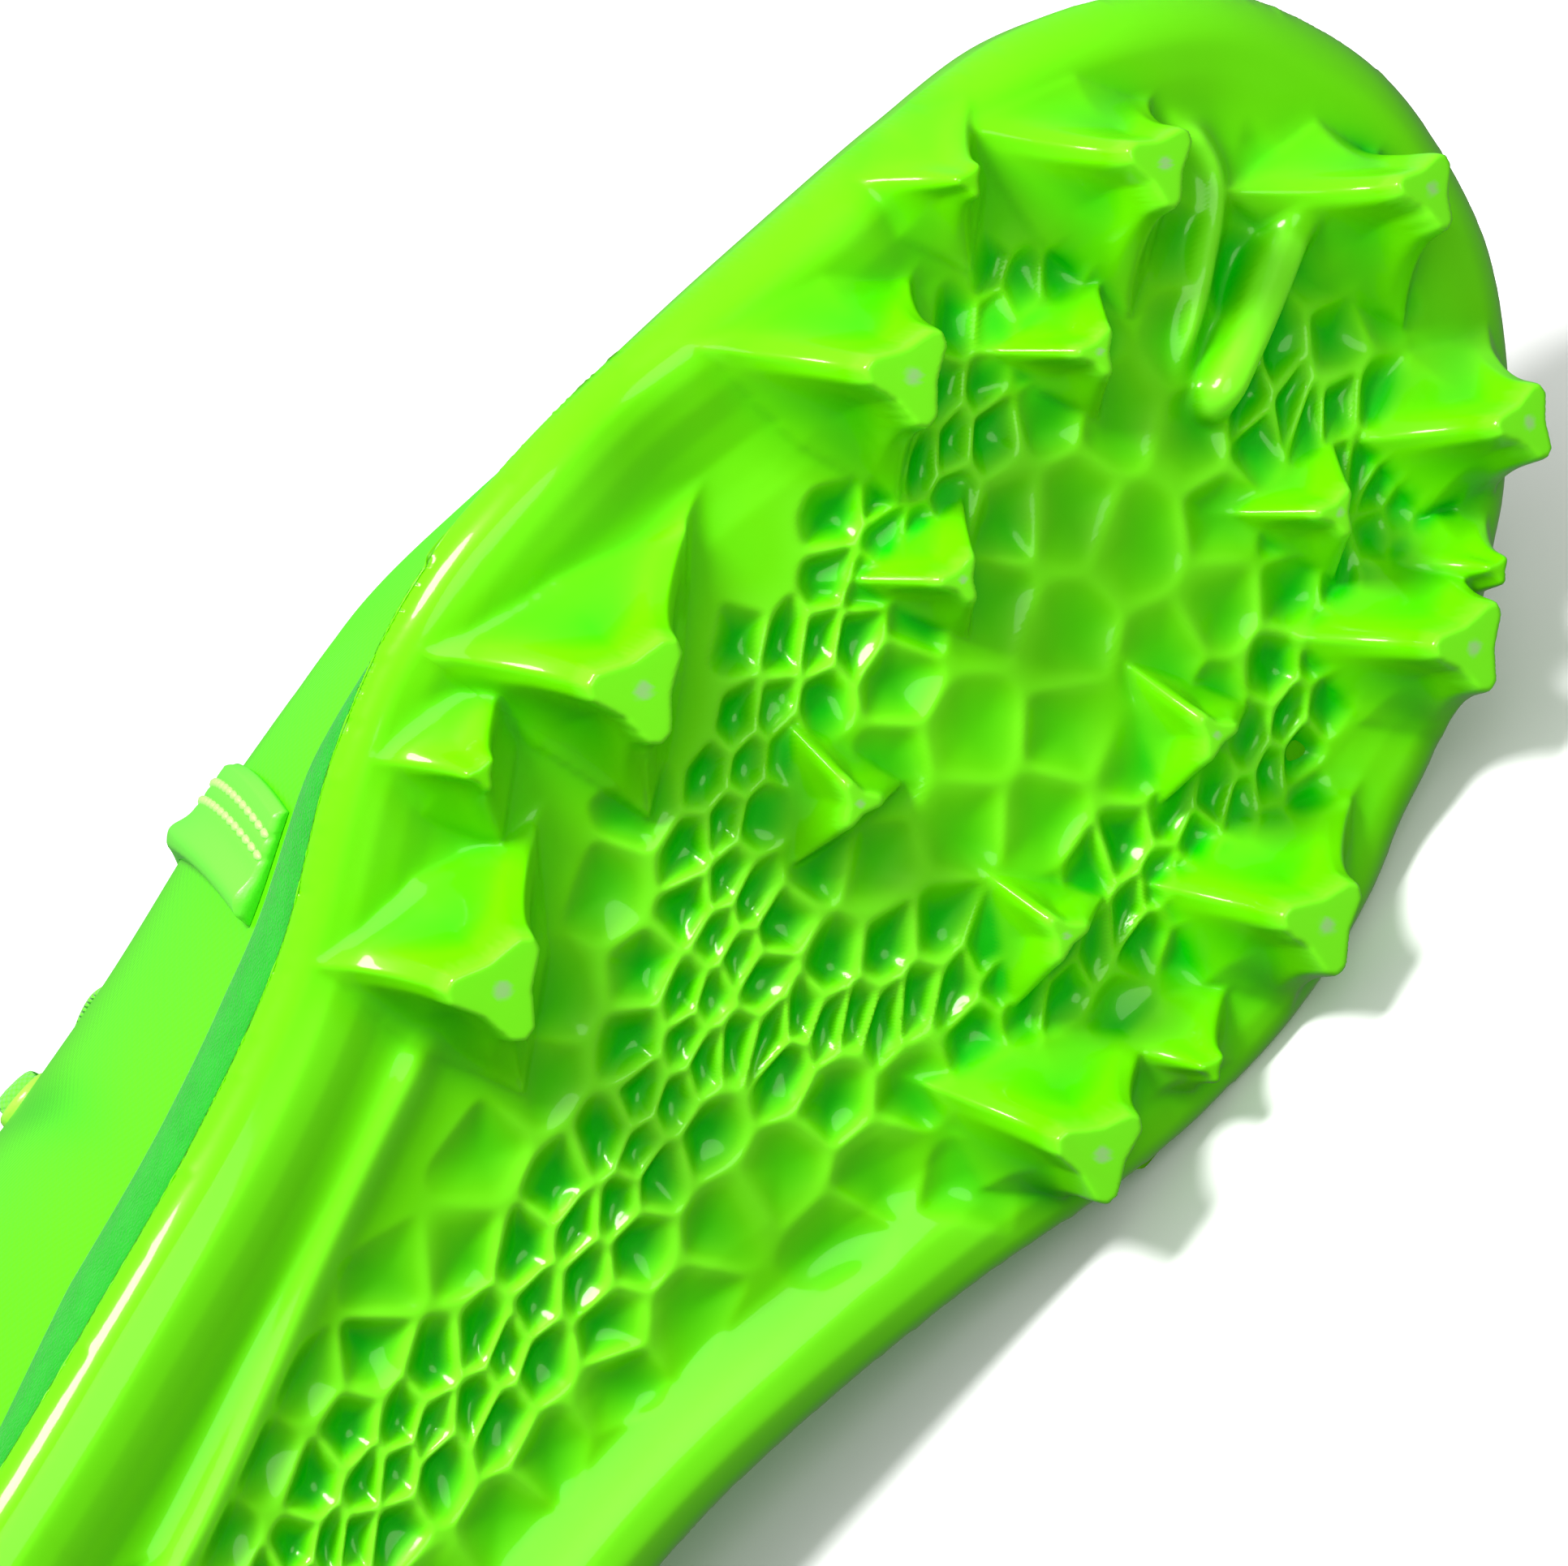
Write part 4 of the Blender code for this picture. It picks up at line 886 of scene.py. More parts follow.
def moulded_tpu(sizes):
    """Injection-moulded TPU: a mirror-smooth, slightly milky skin, with painted shade in its cells and
    hollows and a painted highlight on its crests.
    """
    material, tree, shader = new_material("moulded_tpu")
    colour = sizes.plate_colour
    # Painted shade in the cells, hollows and stud roots, and a painted highlight on the crests; the lighter
    # stud tips and the gate dots are the sole's own colour
    for name, over in (
        ("painted_shade", sizes.painted_shade_colour),
        ("painted_highlight", sizes.painted_highlight_colour),
        ("tip", sizes.tip_colour),
        ("gate", linear(GATE_COLOUR)),
    ):
        share = add_node(tree, "Attribute", attribute_name=name).outputs["Fac"]
        colour = mixed(tree, share, colour, over)
    place = add_node(tree, "TexCoord").outputs["Object"]
    flow = add_node(tree, "TexNoise", {"Vector": place, "Scale": 1 / (FLOW_WAVE * MM), "Detail": 2.0})
    waves = {"Height": flow.outputs["Fac"], "Strength": 0.06, "Distance": FLOW_DEPTH * MM}
    set_shader(tree, shader, {
        "Base Color": colour,
        "Roughness": 0.3,
        "IOR": 1.45,
        "Specular IOR Level": 0.28,
        "Specular Tint": SHINE_TINT,
        "Coat Weight": 0.3,
        "Coat Roughness": 0.06,
        "Coat Tint": COAT_TINT,
        "Subsurface Weight": 0.1,
        "Subsurface Radius": (0.3, 1.0, 0.1),
        "Subsurface Scale": 0.003,
        "Normal": add_node(tree, "Bump", waves).outputs["Normal"],
    })
    return material


def relief_axes():
    """The raster's places across and along."""
    xs = np.arange(RASTER_LOW[0], RASTER_HIGH[0], RASTER_PITCH)
    ys = np.arange(RASTER_LOW[1], RASTER_HIGH[1], RASTER_PITCH)
    return xs, ys


def read_raster(field, x, y, pitch=RASTER_PITCH):
    """Reads a raster between its points."""
    column = np.clip((x - RASTER_LOW[0]) / pitch, 0, field.shape[1] - 1.001)
    row = np.clip((y - RASTER_LOW[1]) / pitch, 0, field.shape[0] - 1.001)
    j, i = column.astype(int), row.astype(int)
    across, along = column - j, row - i
    low = field[i, j] * (1 - across) + field[i, j + 1] * across
    high = field[i + 1, j] * (1 - across) + field[i + 1, j + 1] * across
    return low * (1 - along) + high * along


def blurred(field, radius):
    """A raster softened by a bell curve of a radius in millimetres."""
    reach = int(np.ceil(3 * radius / RASTER_PITCH))
    steps = np.arange(-reach, reach + 1)
    weights = np.exp(-0.5 * (steps * RASTER_PITCH / radius) ** 2)
    weights /= weights.sum()
    for axis in (0, 1):
        padded = np.pad(field, [(reach, reach) if a == axis else (0, 0) for a in (0, 1)], mode="edge")
        size = field.shape[axis]
        field = sum(
            weight * np.take(padded, range(k, k + size), axis=axis)
            for k, weight in enumerate(weights)
        )
    return field


def edge_distance():
    """How far each raster point lies inside the outline, from a coarser grid of true distances."""
    xs = np.arange(RASTER_LOW[0], RASTER_HIGH[0] + COARSE_PITCH, COARSE_PITCH)
    ys = np.arange(RASTER_LOW[1], RASTER_HIGH[1] + COARSE_PITCH, COARSE_PITCH)
    line, out = loop_at(np.linspace(0, 2, OUTLINE_POINTS, endpoint=False))
    away = np.empty((len(ys), len(xs)))
    columns = np.arange(len(xs))
    for i, y in enumerate(ys):
        gap = np.stack(np.broadcast_arrays(xs[:, None] - line[None, :, 0], y - line[None, :, 1]), axis=-1)
        square = (gap**2).sum(axis=-1)
        nearest = square.argmin(axis=1)
        inside = (gap[columns, nearest] * out[nearest]).sum(axis=-1) < 0
        away[i] = np.sqrt(square[columns, nearest]) * np.where(inside, 1, -1)
    fine_x, fine_y = relief_axes()
    return read_raster(away, fine_x[None], fine_y[:, None], COARSE_PITCH)


def line_points(table, columns, count):
    """Points along a line of places, in millimetres, at even steps from row to row."""
    knots = np.arange(len(table), dtype=float)
    places = np.linspace(0, knots[-1], count)
    x = smooth_through(knots, table_column(table, columns, "across"), places) * BALL_WIDTH
    y = smooth_through(knots, table_column(table, columns, "along"), places) * SHOE_LENGTH
    return np.stack([x, y], axis=-1)


def add_ridge(relief, grid, table, half_width, height, flatness):
    """Raises a rounded ridge along a line of places, with the swell of its rows."""
    line = line_points(table, RIB_COLUMNS, RIB_POINTS)
    knots = np.arange(len(table), dtype=float)
    wanted = np.linspace(0, knots[-1], RIB_POINTS)
    swell = np.clip(smooth_through(knots, table_column(table, RIB_COLUMNS, "swell"), wanted), 0, 1)
    reach = RIB_REACH * half_width
    rows, columns = raster_window(line.min(axis=0) - reach, line.max(axis=0) + reach)
    x, y = grid[0][columns][None], grid[1][rows][:, None]
    best = np.zeros((rows.stop - rows.start, columns.stop - columns.start))
    for (px, py), full in zip(line, swell):
        away = np.hypot(x - px, y - py) / half_width
        best = np.maximum(best, full * np.exp(-(away**flatness)))
    relief[rows, columns] += height * best


def raster_window(low, high):
    """Slices of the raster that hold a box."""
    first = [max(int((low[k] - RASTER_LOW[k]) / RASTER_PITCH), 0) for k in (0, 1)]
    xs, ys = relief_axes()
    last = [int((high[k] - RASTER_LOW[k]) / RASTER_PITCH) + 1 for k in (0, 1)]
    return slice(first[1], min(last[1], len(ys))), slice(first[0], min(last[0], len(xs)))


def in_field(points, margin=0.0):
    """Which points lie in the field of cells, or within a margin of it."""
    along = points[..., 1] / SHOE_LENGTH
    outer = read_table(FIELD, FIELD_COLUMNS, "outer", along) * BALL_WIDTH
    inner = read_table(FIELD, FIELD_COLUMNS, "inner", along) * BALL_WIDTH
    beyond = margin / SHOE_LENGTH
    in_length = (along > FIELD[0][0] - beyond) & (along < FIELD[-1][0] + beyond)
    return in_length & (points[..., 0] > inner - margin) & (points[..., 0] < outer + margin)


def drawn_out(shift, stretch):
    """A shift over the sole as across and along the lean, with the stretch of a cell undone."""
    across = shift[..., 0] * cos(CELL_LEAN) - shift[..., 1] * sin(CELL_LEAN)
    along = shift[..., 0] * sin(CELL_LEAN) + shift[..., 1] * cos(CELL_LEAN)
    return across, along / stretch


def cell_width(points, sizes):
    """How wide a cell is at each place: small along the streams, large between them."""
    streams = [line_points(line, STREAM_COLUMNS, STREAM_POINTS) for line in (OUTER_STREAM, INNER_STREAM)]
    away = np.full(points.shape[:-1], FAR)
    for spot in np.concatenate(streams)[::STREAM_SKIP]:
        away = np.minimum(away, np.hypot(points[..., 0] - spot[0], points[..., 1] - spot[1]))
    return read_pairs(CELL_WIDTHS, away) * sizes.cell_scale


def cell_seeds(sizes):
    """Middles of the sole's cells, drawn apart and then evened out, and how each cell leans."""
    rng = np.random.default_rng(CELL_DRAW)
    low = np.array([RASTER_LOW[0] + CELL_BORDER, FIELD[0][0] * SHOE_LENGTH - CELL_MARGIN])
    high = np.array([RASTER_HIGH[0] - CELL_BORDER, FIELD[-1][0] * SHOE_LENGTH + CELL_MARGIN])
    tries = rng.uniform(low, high, (CELL_TRIES, 2))
    tries = tries[in_field(tries, CELL_MARGIN)]
    widths = cell_width(tries, sizes)
    stretch = read_pairs(CELL_STRETCH, widths)
    kept = []
    for k in np.argsort(widths, kind="stable"):
        gap = np.hypot(*drawn_out(tries[kept] - tries[k], stretch[k]))
        if not kept or (gap > CELL_SPACING * (widths[kept] + widths[k])).all():
            kept.append(k)
    seeds = tries[kept]
    spots = rng.uniform(low, high, (EVENING_SPOTS, 2))
    spots = spots[in_field(spots, CELL_MARGIN)]
    need = cell_width(spots, sizes) ** -EVENING_POWER
    for _ in range(CELL_EVENING):
        stretch = read_pairs(CELL_STRETCH, cell_width(seeds, sizes))
        owners = [
            np.hypot(*drawn_out(part[:, None] - seeds[None], stretch)).argmin(axis=1)
            for part in np.array_split(spots, EVENING_PARTS)
        ]
        owner = np.concatenate(owners)
        weight = np.bincount(owner, need, len(seeds))
        for axis in (0, 1):
            middle = np.bincount(owner, need * spots[:, axis], len(seeds)) / np.maximum(weight, EXACT)
            seeds[:, axis] = np.where(weight > 0, middle, seeds[:, axis])
    return seeds, rng.uniform(-1, 1, (len(seeds), 2))


def cell_relief(grid, sizes):
    """Bowls between thin crests, as depths, and how hollow each place is from 0 to 1."""
    seeds, leans = cell_seeds(sizes)
    stretch = read_pairs(CELL_STRETCH, cell_width(seeds, sizes))
    across, along = drawn_out(seeds[None] - seeds[:, None], stretch[:, None])
    gaps = np.hypot(across, along)
    width = np.sort(gaps, axis=1)[:, 1 : 1 + CELL_NEIGHBOURS].mean(axis=1)
    depth = read_pairs(BOWL_DEPTHS, width) * sizes.bowl_depth * in_field(seeds)
    tilt = leans * (BOWL_TILT * smooth_step(*TILTED_WIDTHS, width) / width)[:, None]
    relief = np.zeros((len(grid[1]), len(grid[0])))
    for number, seed in enumerate(seeds):
        if depth[number] <= 0:
            continue
        reach = BOWL_REACH * stretch[number] * width[number]
        rows, columns = raster_window(seed - reach, seed + reach)
        x, y = np.meshgrid(grid[0][columns] - seed[0], grid[1][rows] - seed[1])
        a, b = drawn_out(np.stack([x, y], axis=-1), stretch[number])
        total = np.zeros(a.shape)
        for other in np.flatnonzero(gaps[number] < NEIGHBOUR_REACH * width[number]):
            if other != number:
                u, v = across[number, other], along[number, other]
                total += np.maximum(2 * (a * u + b * v) / (u**2 + v**2), 0) ** BOWL_CORNERS
        share = total ** (1 / BOWL_CORNERS) * (1 + sizes.crest_width / width[number])
        floor = depth[number] * (1 + tilt[number, 0] * a + tilt[number, 1] * b)
        relief[rows, columns] += floor * np.clip(1 - share**BOWL_ROUNDNESS, 0, 1)
    return relief, np.clip(relief / BOWL_FULL, 0, 1)


def star_radius(angles, reaches, turn, valley, flank):
    """How far a three-armed star reaches at each angle."""
    corners = []
    for number, reach in enumerate(reaches):
        heading = radians(turn - 30 + 120 * number)
        ahead = np.array([cos(heading), sin(heading)])
        aside = np.array([-sin(heading), cos(heading)])
        between = heading + pi / 3
        corners.append(ahead * reach * ARM_SHOULDER - aside * flank)
        corners.append(ahead * reach)
        corners.append(ahead * reach * ARM_SHOULDER + aside * flank)
        corners.append(np.array([cos(between), sin(between)]) * valley)
    corners = np.array(corners)
    bearings = np.unwrap(np.arctan2(corners[:, 1], corners[:, 0]))
    wrapped = bearings[0] + np.mod(angles - bearings[0], 2 * pi)
    k = np.clip(np.searchsorted(bearings, wrapped, side="right") - 1, 0, len(corners) - 1)
    start, end = corners[k], corners[(k + 1) % len(corners)]
    ray = np.stack([np.cos(angles), np.sin(angles)], axis=-1)
    edge = end - start
    across = start[:, 0] * edge[:, 1] - start[:, 1] * edge[:, 0]
    along = ray[:, 0] * edge[:, 1] - ray[:, 1] * edge[:, 0]
    return across / np.where(np.abs(along) < EXACT, EXACT, along)


def swept(root, tip, share, sweep):
    """A size that runs from its root value to its tip value, quickly at first."""
    return tip + (root - tip) * (1 - share) ** sweep


def smooth_higher(first, second, softness):
    """The higher of two surfaces, with a fillet where they cross."""
    gap = np.clip(softness - np.abs(first - second), 0, None)
    return np.maximum(first, second) + gap**2 / (4 * softness)


def stud_limits(stud, kind, bearing):
    """How far a stud reaches in each direction at each of its levels, from root to tip."""
    arms = [kind["reach"] * stud[name] for name in STUD_ARMS]
    tip = kind["tip"] * stud["tip"]
    bearings = np.linspace(-pi, pi, STUD_BEARINGS)
    limits = []
    for share in np.linspace(0, 1, STUD_LEVELS):
        reaches = [swept(arm, tip, share, kind["sweep"]) for arm in arms]
        valley = swept(kind["reach"] * ROOT_VALLEY, tip * TIP_VALLEY, share, VALLEY_SWEEP)
        flank = swept(kind["reach"] * ROOT_FLANK, tip * TIP_FLANK, share, 1)
        star = star_radius(bearings, reaches, stud["turn"], valley, flank)
        limits.append(np.interp(bearing, bearings, star))
    return limits


def add_stud(relief, fields, grid, row):
    """Raises one stud: each level of it is a star, read back as a height over the plate."""
    stud = dict(zip(STUD_COLUMNS, row))
    kind = dict(zip(STUD_KIND_COLUMNS, STUD_KINDS[stud["kind"]]))
    tip = kind["tip"] * stud["tip"]
    px, py = stud["across"] * BALL_WIDTH, stud["along"] * SHOE_LENGTH
    reach = max(kind["reach"] * stud[name] for name in STUD_ARMS) + STUD_BORDER
    rows, columns = raster_window((px - reach, py - reach), (px + reach, py + reach))
    slope = float(underside_slope(py))
    a = np.broadcast_to(grid[0][columns][None] - px, (rows.stop - rows.start, columns.stop - columns.start))
    b = np.broadcast_to((grid[1][rows][:, None] - py) * np.hypot(1, slope), a.shape)
    away, bearing = np.hypot(a, b), np.arctan2(b, a)
    levels = np.linspace(0, 1, STUD_LEVELS)
    limits = stud_limits(stud, kind, bearing)
    share = np.where(away < limits[-1], 1.0, -STUD_SINK - (away - limits[0]) * STUD_FALL)
    for k in range(STUD_LEVELS - 1):
        low, high = limits[k], limits[k + 1]
        between = (away <= low) & (away > high)
        part = (low - away) / np.maximum(low - high, EXACT)
        share = np.where(between, levels[k] + part * (levels[k + 1] - levels[k]), share)
    relief[rows, columns] = smooth_higher(relief[rows, columns], share * kind["height"], kind["fillet"])
    if stud["kind"] != "edge":
        cap = smooth_step(*TIP_SEAM, share)
        fields["tip"][rows, columns] = np.maximum(fields["tip"][rows, columns], cap)
        dot = smooth_step(tip * GATE_SIZES[0], tip * GATE_SIZES[1], away) * (share > 0.9)
        fields["gate"][rows, columns] = np.maximum(fields["gate"][rows, columns], dot)
    own = smooth_step(*STUD_FOOT, share)
    fields["own"][rows, columns] = np.maximum(fields["own"][rows, columns], own)
    fields["slope"][rows, columns] += own * (slope - fields["slope"][rows, columns])


def add_scoop(relief, grid, row):
    """Sinks a long smooth hollow into the sole's edge."""
    scoop = dict(zip(SCOOP_COLUMNS, row))
    px, py = scoop["across"] * BALL_WIDTH, scoop["along"] * SHOE_LENGTH
    turn = radians(scoop["turn"])
    x, y = grid[0][None] - px, grid[1][:, None] - py
    along = (x * cos(turn) + y * sin(turn)) / scoop["length"]
    across = (-x * sin(turn) + y * cos(turn)) / scoop["width"]
    relief -= scoop["depth"] * np.exp(-2 * (along**2 + across**2))


def make_relief(sizes):
    """The whole underside as heights out from the plate, and the fields that colour it, painted shade and
    painted highlight among them.
    """
    grid = relief_axes()
    shape = (len(grid[1]), len(grid[0]))
    bowls, hollow = cell_relief(grid, sizes)
    away = edge_distance()
    along = grid[1] / SHOE_LENGTH
    relief = read_pairs(EDGE_SWELL, away) * read_pairs(EDGE_SWELL_ALONG, along)[:, None]
    for row in SCOOPS:
        add_scoop(relief, grid, row)
    ribs = np.zeros(shape)
    for rib in RIBS:
        add_ridge(ribs, grid, *rib)
    add_ridge(relief, grid, *GROOVE)
    relief += blurred(ribs, RIB_SOFTNESS)
    relief = relief - bowls * np.clip(1.1 - ribs, 0, 1)
    fields = {
        "tip": np.zeros(shape),
        "gate": np.zeros(shape),
        "own": np.zeros(shape),
        "slope": np.broadcast_to(underside_slope(grid[1])[:, None], shape).copy(),
    }
    for row in STUDS:
        add_stud(relief, fields, grid, row)
    relief = blurred(relief, sizes.moulding_radius)
    fields["slope"] = blurred(fields["slope"], SLOPE_SOFTNESS)
    radius = np.broadcast_to(edge_radius(grid[1])[:, None], shape)
    inside = np.clip(away, 0, radius)
    round_off = radius - np.sqrt(radius**2 - (radius - inside) ** 2)
    # Painted shade where a place lies below its blurred surroundings and in the cells' bowls, and painted
    # highlight where it stands above them
    hollowness = blurred(relief, PAINTED_SHADE_AND_HIGHLIGHT_REACH) - relief
    plain = 1 - fields["own"]
    fields["painted_shade"] = np.clip(CELL_PAINTED_SHADE * hollow * plain + HOLLOW_PAINTED_SHADE * hollowness, 0, 1)
    fields["painted_highlight"] = np.clip(-CREST_PAINTED_HIGHLIGHT * hollowness, 0, 1) * plain
    return relief - round_off, fields


def sole_grid(relief):
    """Places of the mesh's points on the plate, drawn together where the surface is steep."""
    fall_y, fall_x = np.gradient(relief, RASTER_PITCH)
    bend = np.abs(np.gradient(fall_x, RASTER_PITCH)[1]) + np.abs(np.gradient(fall_y, RASTER_PITCH)[0])
    need = 1 + 0.9 * np.minimum(np.hypot(fall_x, fall_y), 3.0) + 0.6 * np.minimum(bend, 2.5)
    need = blurred(need, NEED_SOFTNESS)
    places = None
    for factor, rounds in RELAX_STAGES:
        rows, columns = SOLE_ROWS // factor, SOLE_COLUMNS // factor
        if places is None:
            edges = [
                np.linspace(HEEL_ARC, TOE_ARC, rows),
                np.linspace(TOE_ARC, 2 - TOE_ARC, columns),
                np.linspace(2 - HEEL_ARC, 2 - TOE_ARC, rows),
                np.linspace(HEEL_ARC, -HEEL_ARC, columns),
            ]
            places = coons(edges)
        else:
            edges = [finer(edge, size) for edge, size in zip(edges, (rows, columns, rows, columns))]
            places = np.stack([finer_grid(places[..., k], rows, columns) for k in (0, 1)], axis=-1)
        places = relax(places, edges, need, rounds)
    return places, edges


def finer(values, count):
    """A list of values read at more places."""
    return np.interp(np.linspace(0, 1, count), np.linspace(0, 1, len(values)), values)


def finer_grid(values, rows, columns):
    """A grid of values read at more places."""
    wide = np.array([finer(row, columns) for row in values])
    return np.array([finer(column, rows) for column in wide.T]).T


def coons(edges):
    """A grid spanned between four edges of the outline."""
    outer, toe, inner, heel = [loop_at(edge)[0] for edge in edges]
    v = np.linspace(0, 1, len(outer))[:, None, None]
    u = np.linspace(0, 1, len(toe))[None, :, None]
    sides = (1 - u) * outer[:, None] + u * inner[:, None]
    ends = (1 - v) * heel[None] + v * toe[None]
    corners = (1 - v) * ((1 - u) * outer[0] + u * inner[0]) + v * ((1 - u) * outer[-1] + u * inner[-1])
    return sides + ends - corners


def relax(places, edges, need, rounds):
    """Moves each point to the middle of its neighbours, pulled to where more are needed."""
    for number in range(rounds):
        pull = read_raster(need, places[..., 0], places[..., 1])
        if number % 4 == 0:
            slide(places, edges, pull)
        down = (pull[1:] + pull[:-1])[:, 1:-1, None]
        beside = (pull[:, 1:] + pull[:, :-1])[1:-1, :, None]
        total = down[:-1] + down[1:] + beside[:, :-1] + beside[:, 1:]
        wanted = (
            down[:-1] * places[:-2, 1:-1]
            + down[1:] * places[2:, 1:-1]
            + beside[:, :-1] * places[1:-1, :-2]
            + beside[:, 1:] * places[1:-1, 2:]
        ) / total
        places[1:-1, 1:-1] += 0.95 * (wanted - places[1:-1, 1:-1])
    return places


def slide(places, edges, pull):
    """Slides the points of the four edges along the outline in the same way."""
    inward = 6
    lines = (pull[:, :inward], pull[-inward:].T, pull[:, -inward:], pull[:inward].T)
    for edge, line in zip(edges, lines):
        need = line.mean(axis=1)
        weight = need[1:] + need[:-1]
        edge[1:-1] = (weight[:-1] * edge[:-2] + weight[1:] * edge[2:]) / (weight[:-1] + weight[1:])
    places[:, 0] = loop_at(edges[0])[0]
    places[-1] = loop_at(edges[1])[0]
    places[:, -1] = loop_at(edges[2])[0]
    places[0] = loop_at(edges[3])[0]


def plate_points(places, height, slope):
    """Points of the underside: hollows go straight in, what stands out leans with its root."""
    points = np.concatenate([places, underside_height(places[..., 1])[..., None]], axis=-1)
    length = np.hypot(1, slope)
    rise = np.maximum(height, 0)
    points[..., 1] += rise * slope / length
    points[..., 2] -= np.where(height > 0, height / length, height)
    return points


def edge_radius(y):
    """Roundness of the plate's lower edge: fuller at toe and heel than at the thin waist."""
    return read_pairs(EDGE_RADII, y / SHOE_LENGTH)


def level_ring(places, inset, height):
    """A ring of points round the shoe, at an inset and a height over the flat plate."""
    flat = loop_at(places, np.broadcast_to(inset, places.shape))[0]
    return follow_underside(np.column_stack([flat, np.broadcast_to(height, places.shape)]))


def rim_profile(rounds):
    """Inset and height of the rings that carry the plate's edge up to the rim and inside."""
    side_insets = []
    rise = rim_rise(rounds)
    ups = np.linspace(0, 1, PROFILE_POINTS)
    for side in (OUTER, INNER):
        insets = []
        for share, high in zip(rounds, rise):
            line = upper_face(side, np.full(ups.shape, share), ups)
            edge, out = outline_at(side, share)
            depths = (edge - line[:, :2]) @ out
            heights = line[:, 2] - underside_height(line[:, 1])
            hug = np.interp(PLATE_THICKNESS + high, heights, depths) - 2 * FIT_GAP
            over_board = max(1, high / (MIDSOLE_TOP - PLATE_THICKNESS))
            clear_of_board = RIM_WALL + BOARD_INSET * over_board
            insets.append(min(hug, clear_of_board) if high > 0 else RIM_WALL)
        side_insets.append(insets)
    return np.array(side_insets), rise


def rim_rings(places):
    """Rings of points from the underside's edge up over the rim and down to the inner floor."""
    rounds = np.where(places > 1, 2 - places, np.abs(places))
    known = np.linspace(0, 1, RIM_STATIONS)
    insets, rises = rim_profile(known)
    on_outer, on_inner = [np.interp(rounds, known, side_insets) for side_insets in insets]
    inner_top = np.where((places >= 0) & (places <= 1), on_outer, on_inner)
    outer_top = inner_top - RIM_WALL
    top = PLATE_THICKNESS + np.interp(rounds, known, rises)
    low = edge_radius(loop_at(places)[0][:, 1])
    rounding = RIM_WALL * RIM_ROUNDING
    levels = []
    for share in (0.33, 0.66, 1.0):
        high = low + (top - rounding - low) * share
        levels.append((outer_top * (high - low) / np.maximum(top - low, 0.2), high))
    levels += [
        (outer_top + rounding * 0.3, top - rounding * 0.3),
        (outer_top + rounding, top),
        (inner_top - rounding * 0.3, top),
        (inner_top, top - rounding * 0.4),
        (RIM_WALL, PLATE_THICKNESS),
    ]
    return np.array([level_ring(places, *level) for level in levels])


def make_sole(sizes):
    """The outsole's underside and rim, in three pieces that share their rows of points."""
    relief, fields = make_relief(sizes)
    places, edges = sole_grid(relief)
    x, y = places[..., 0], places[..., 1]
    points = plate_points(places, read_raster(relief, x, y), read_raster(fields["slope"], x, y))
    values = {name: read_raster(fields[name], x, y) for name in ("painted_shade", "painted_highlight", "tip", "gate")}
    material = moulded_tpu(sizes)
    middle = y[:, SOLE_COLUMNS // 2] / SHOE_LENGTH
    for name, start, end in SOLE_CUTS:
        first = int(np.searchsorted(middle, start)) if start > 0 else 0
        last = int(np.searchsorted(middle, end)) + 1 if end < 1 else SOLE_ROWS
        sole_piece(name, points, values, edges, first, last, material)


def sole_piece(name, points, values, edges, first, last, material):
    """One piece of the outsole: rows of the underside with the rim that belongs to them."""
    rows = last - first
    underside = points[first:last].reshape(-1, 3)
    faces = [grid_faces(rows, SOLE_COLUMNS)]
    numbers = np.arange(rows * SOLE_COLUMNS).reshape(rows, SOLE_COLUMNS)
    heel, toe = first == 0, last == SOLE_ROWS
    loop = [numbers[:, 0], numbers[-1][1:-1] if toe else [], numbers[::-1, -1]]
    places = [edges[0][first:last], edges[1][1:-1] if toe else [], edges[2][first:last][::-1]]
    if heel:
        loop.append(numbers[0][-2:0:-1])
        places.append(edges[3][-2:0:-1])
    loop, places = np.concatenate(loop).astype(int), np.concatenate(places)
    rings = rim_rings(places)
    count = len(loop)
    above = len(underside) + np.arange(len(rings) * count).reshape(len(rings), count)
    ring_numbers = np.concatenate([[loop], above])
    ends = count if heel else count - 1
    here = np.array([k for k in range(ends) if toe or k != rows - 1])
    there = (here + 1) % count
    for low, high in zip(ring_numbers[:-1], ring_numbers[1:]):
        faces.append(np.stack([low[here], high[here], high[there], low[there]], axis=-1))
    top = np.roll(ring_numbers[-1], (SOLE_COLUMNS - 2) // 2 if heel else 0)
    outer, inner = top[: count // 2], top[::-1][: count // 2]
    faces.append(np.stack([outer[:-1], inner[:-1], inner[1:], outer[1:]], axis=-1))
    every = np.concatenate([underside, rings.reshape(-1, 3)])
    on_rim = np.zeros(len(rings) * count)
    extra = {key: np.concatenate([value[first:last].reshape(-1), on_rim]) for key, value in values.items()}
    settle(build_piece(name, every, np.concatenate(faces), material, extra), "outsole", "outsole")


def grain(tree, size_mm, strength, detail=3.0, depth_mm=0.3, height=None):
    """A bump of fine noise of a size in millimetres, over another surface height if given."""
    place = add_node(tree, "TexCoord").outputs["Object"]
    noise = add_node(tree, "TexNoise", {"Vector": place, "Scale": 1000 / size_mm, "Detail": detail})
    values = {"Height": noise.outputs["Fac"], "Strength": strength, "Distance": depth_mm * MM}
    if height is not None:
        values["Normal"] = height
    return add_node(tree, "Bump", values).outputs["Normal"]


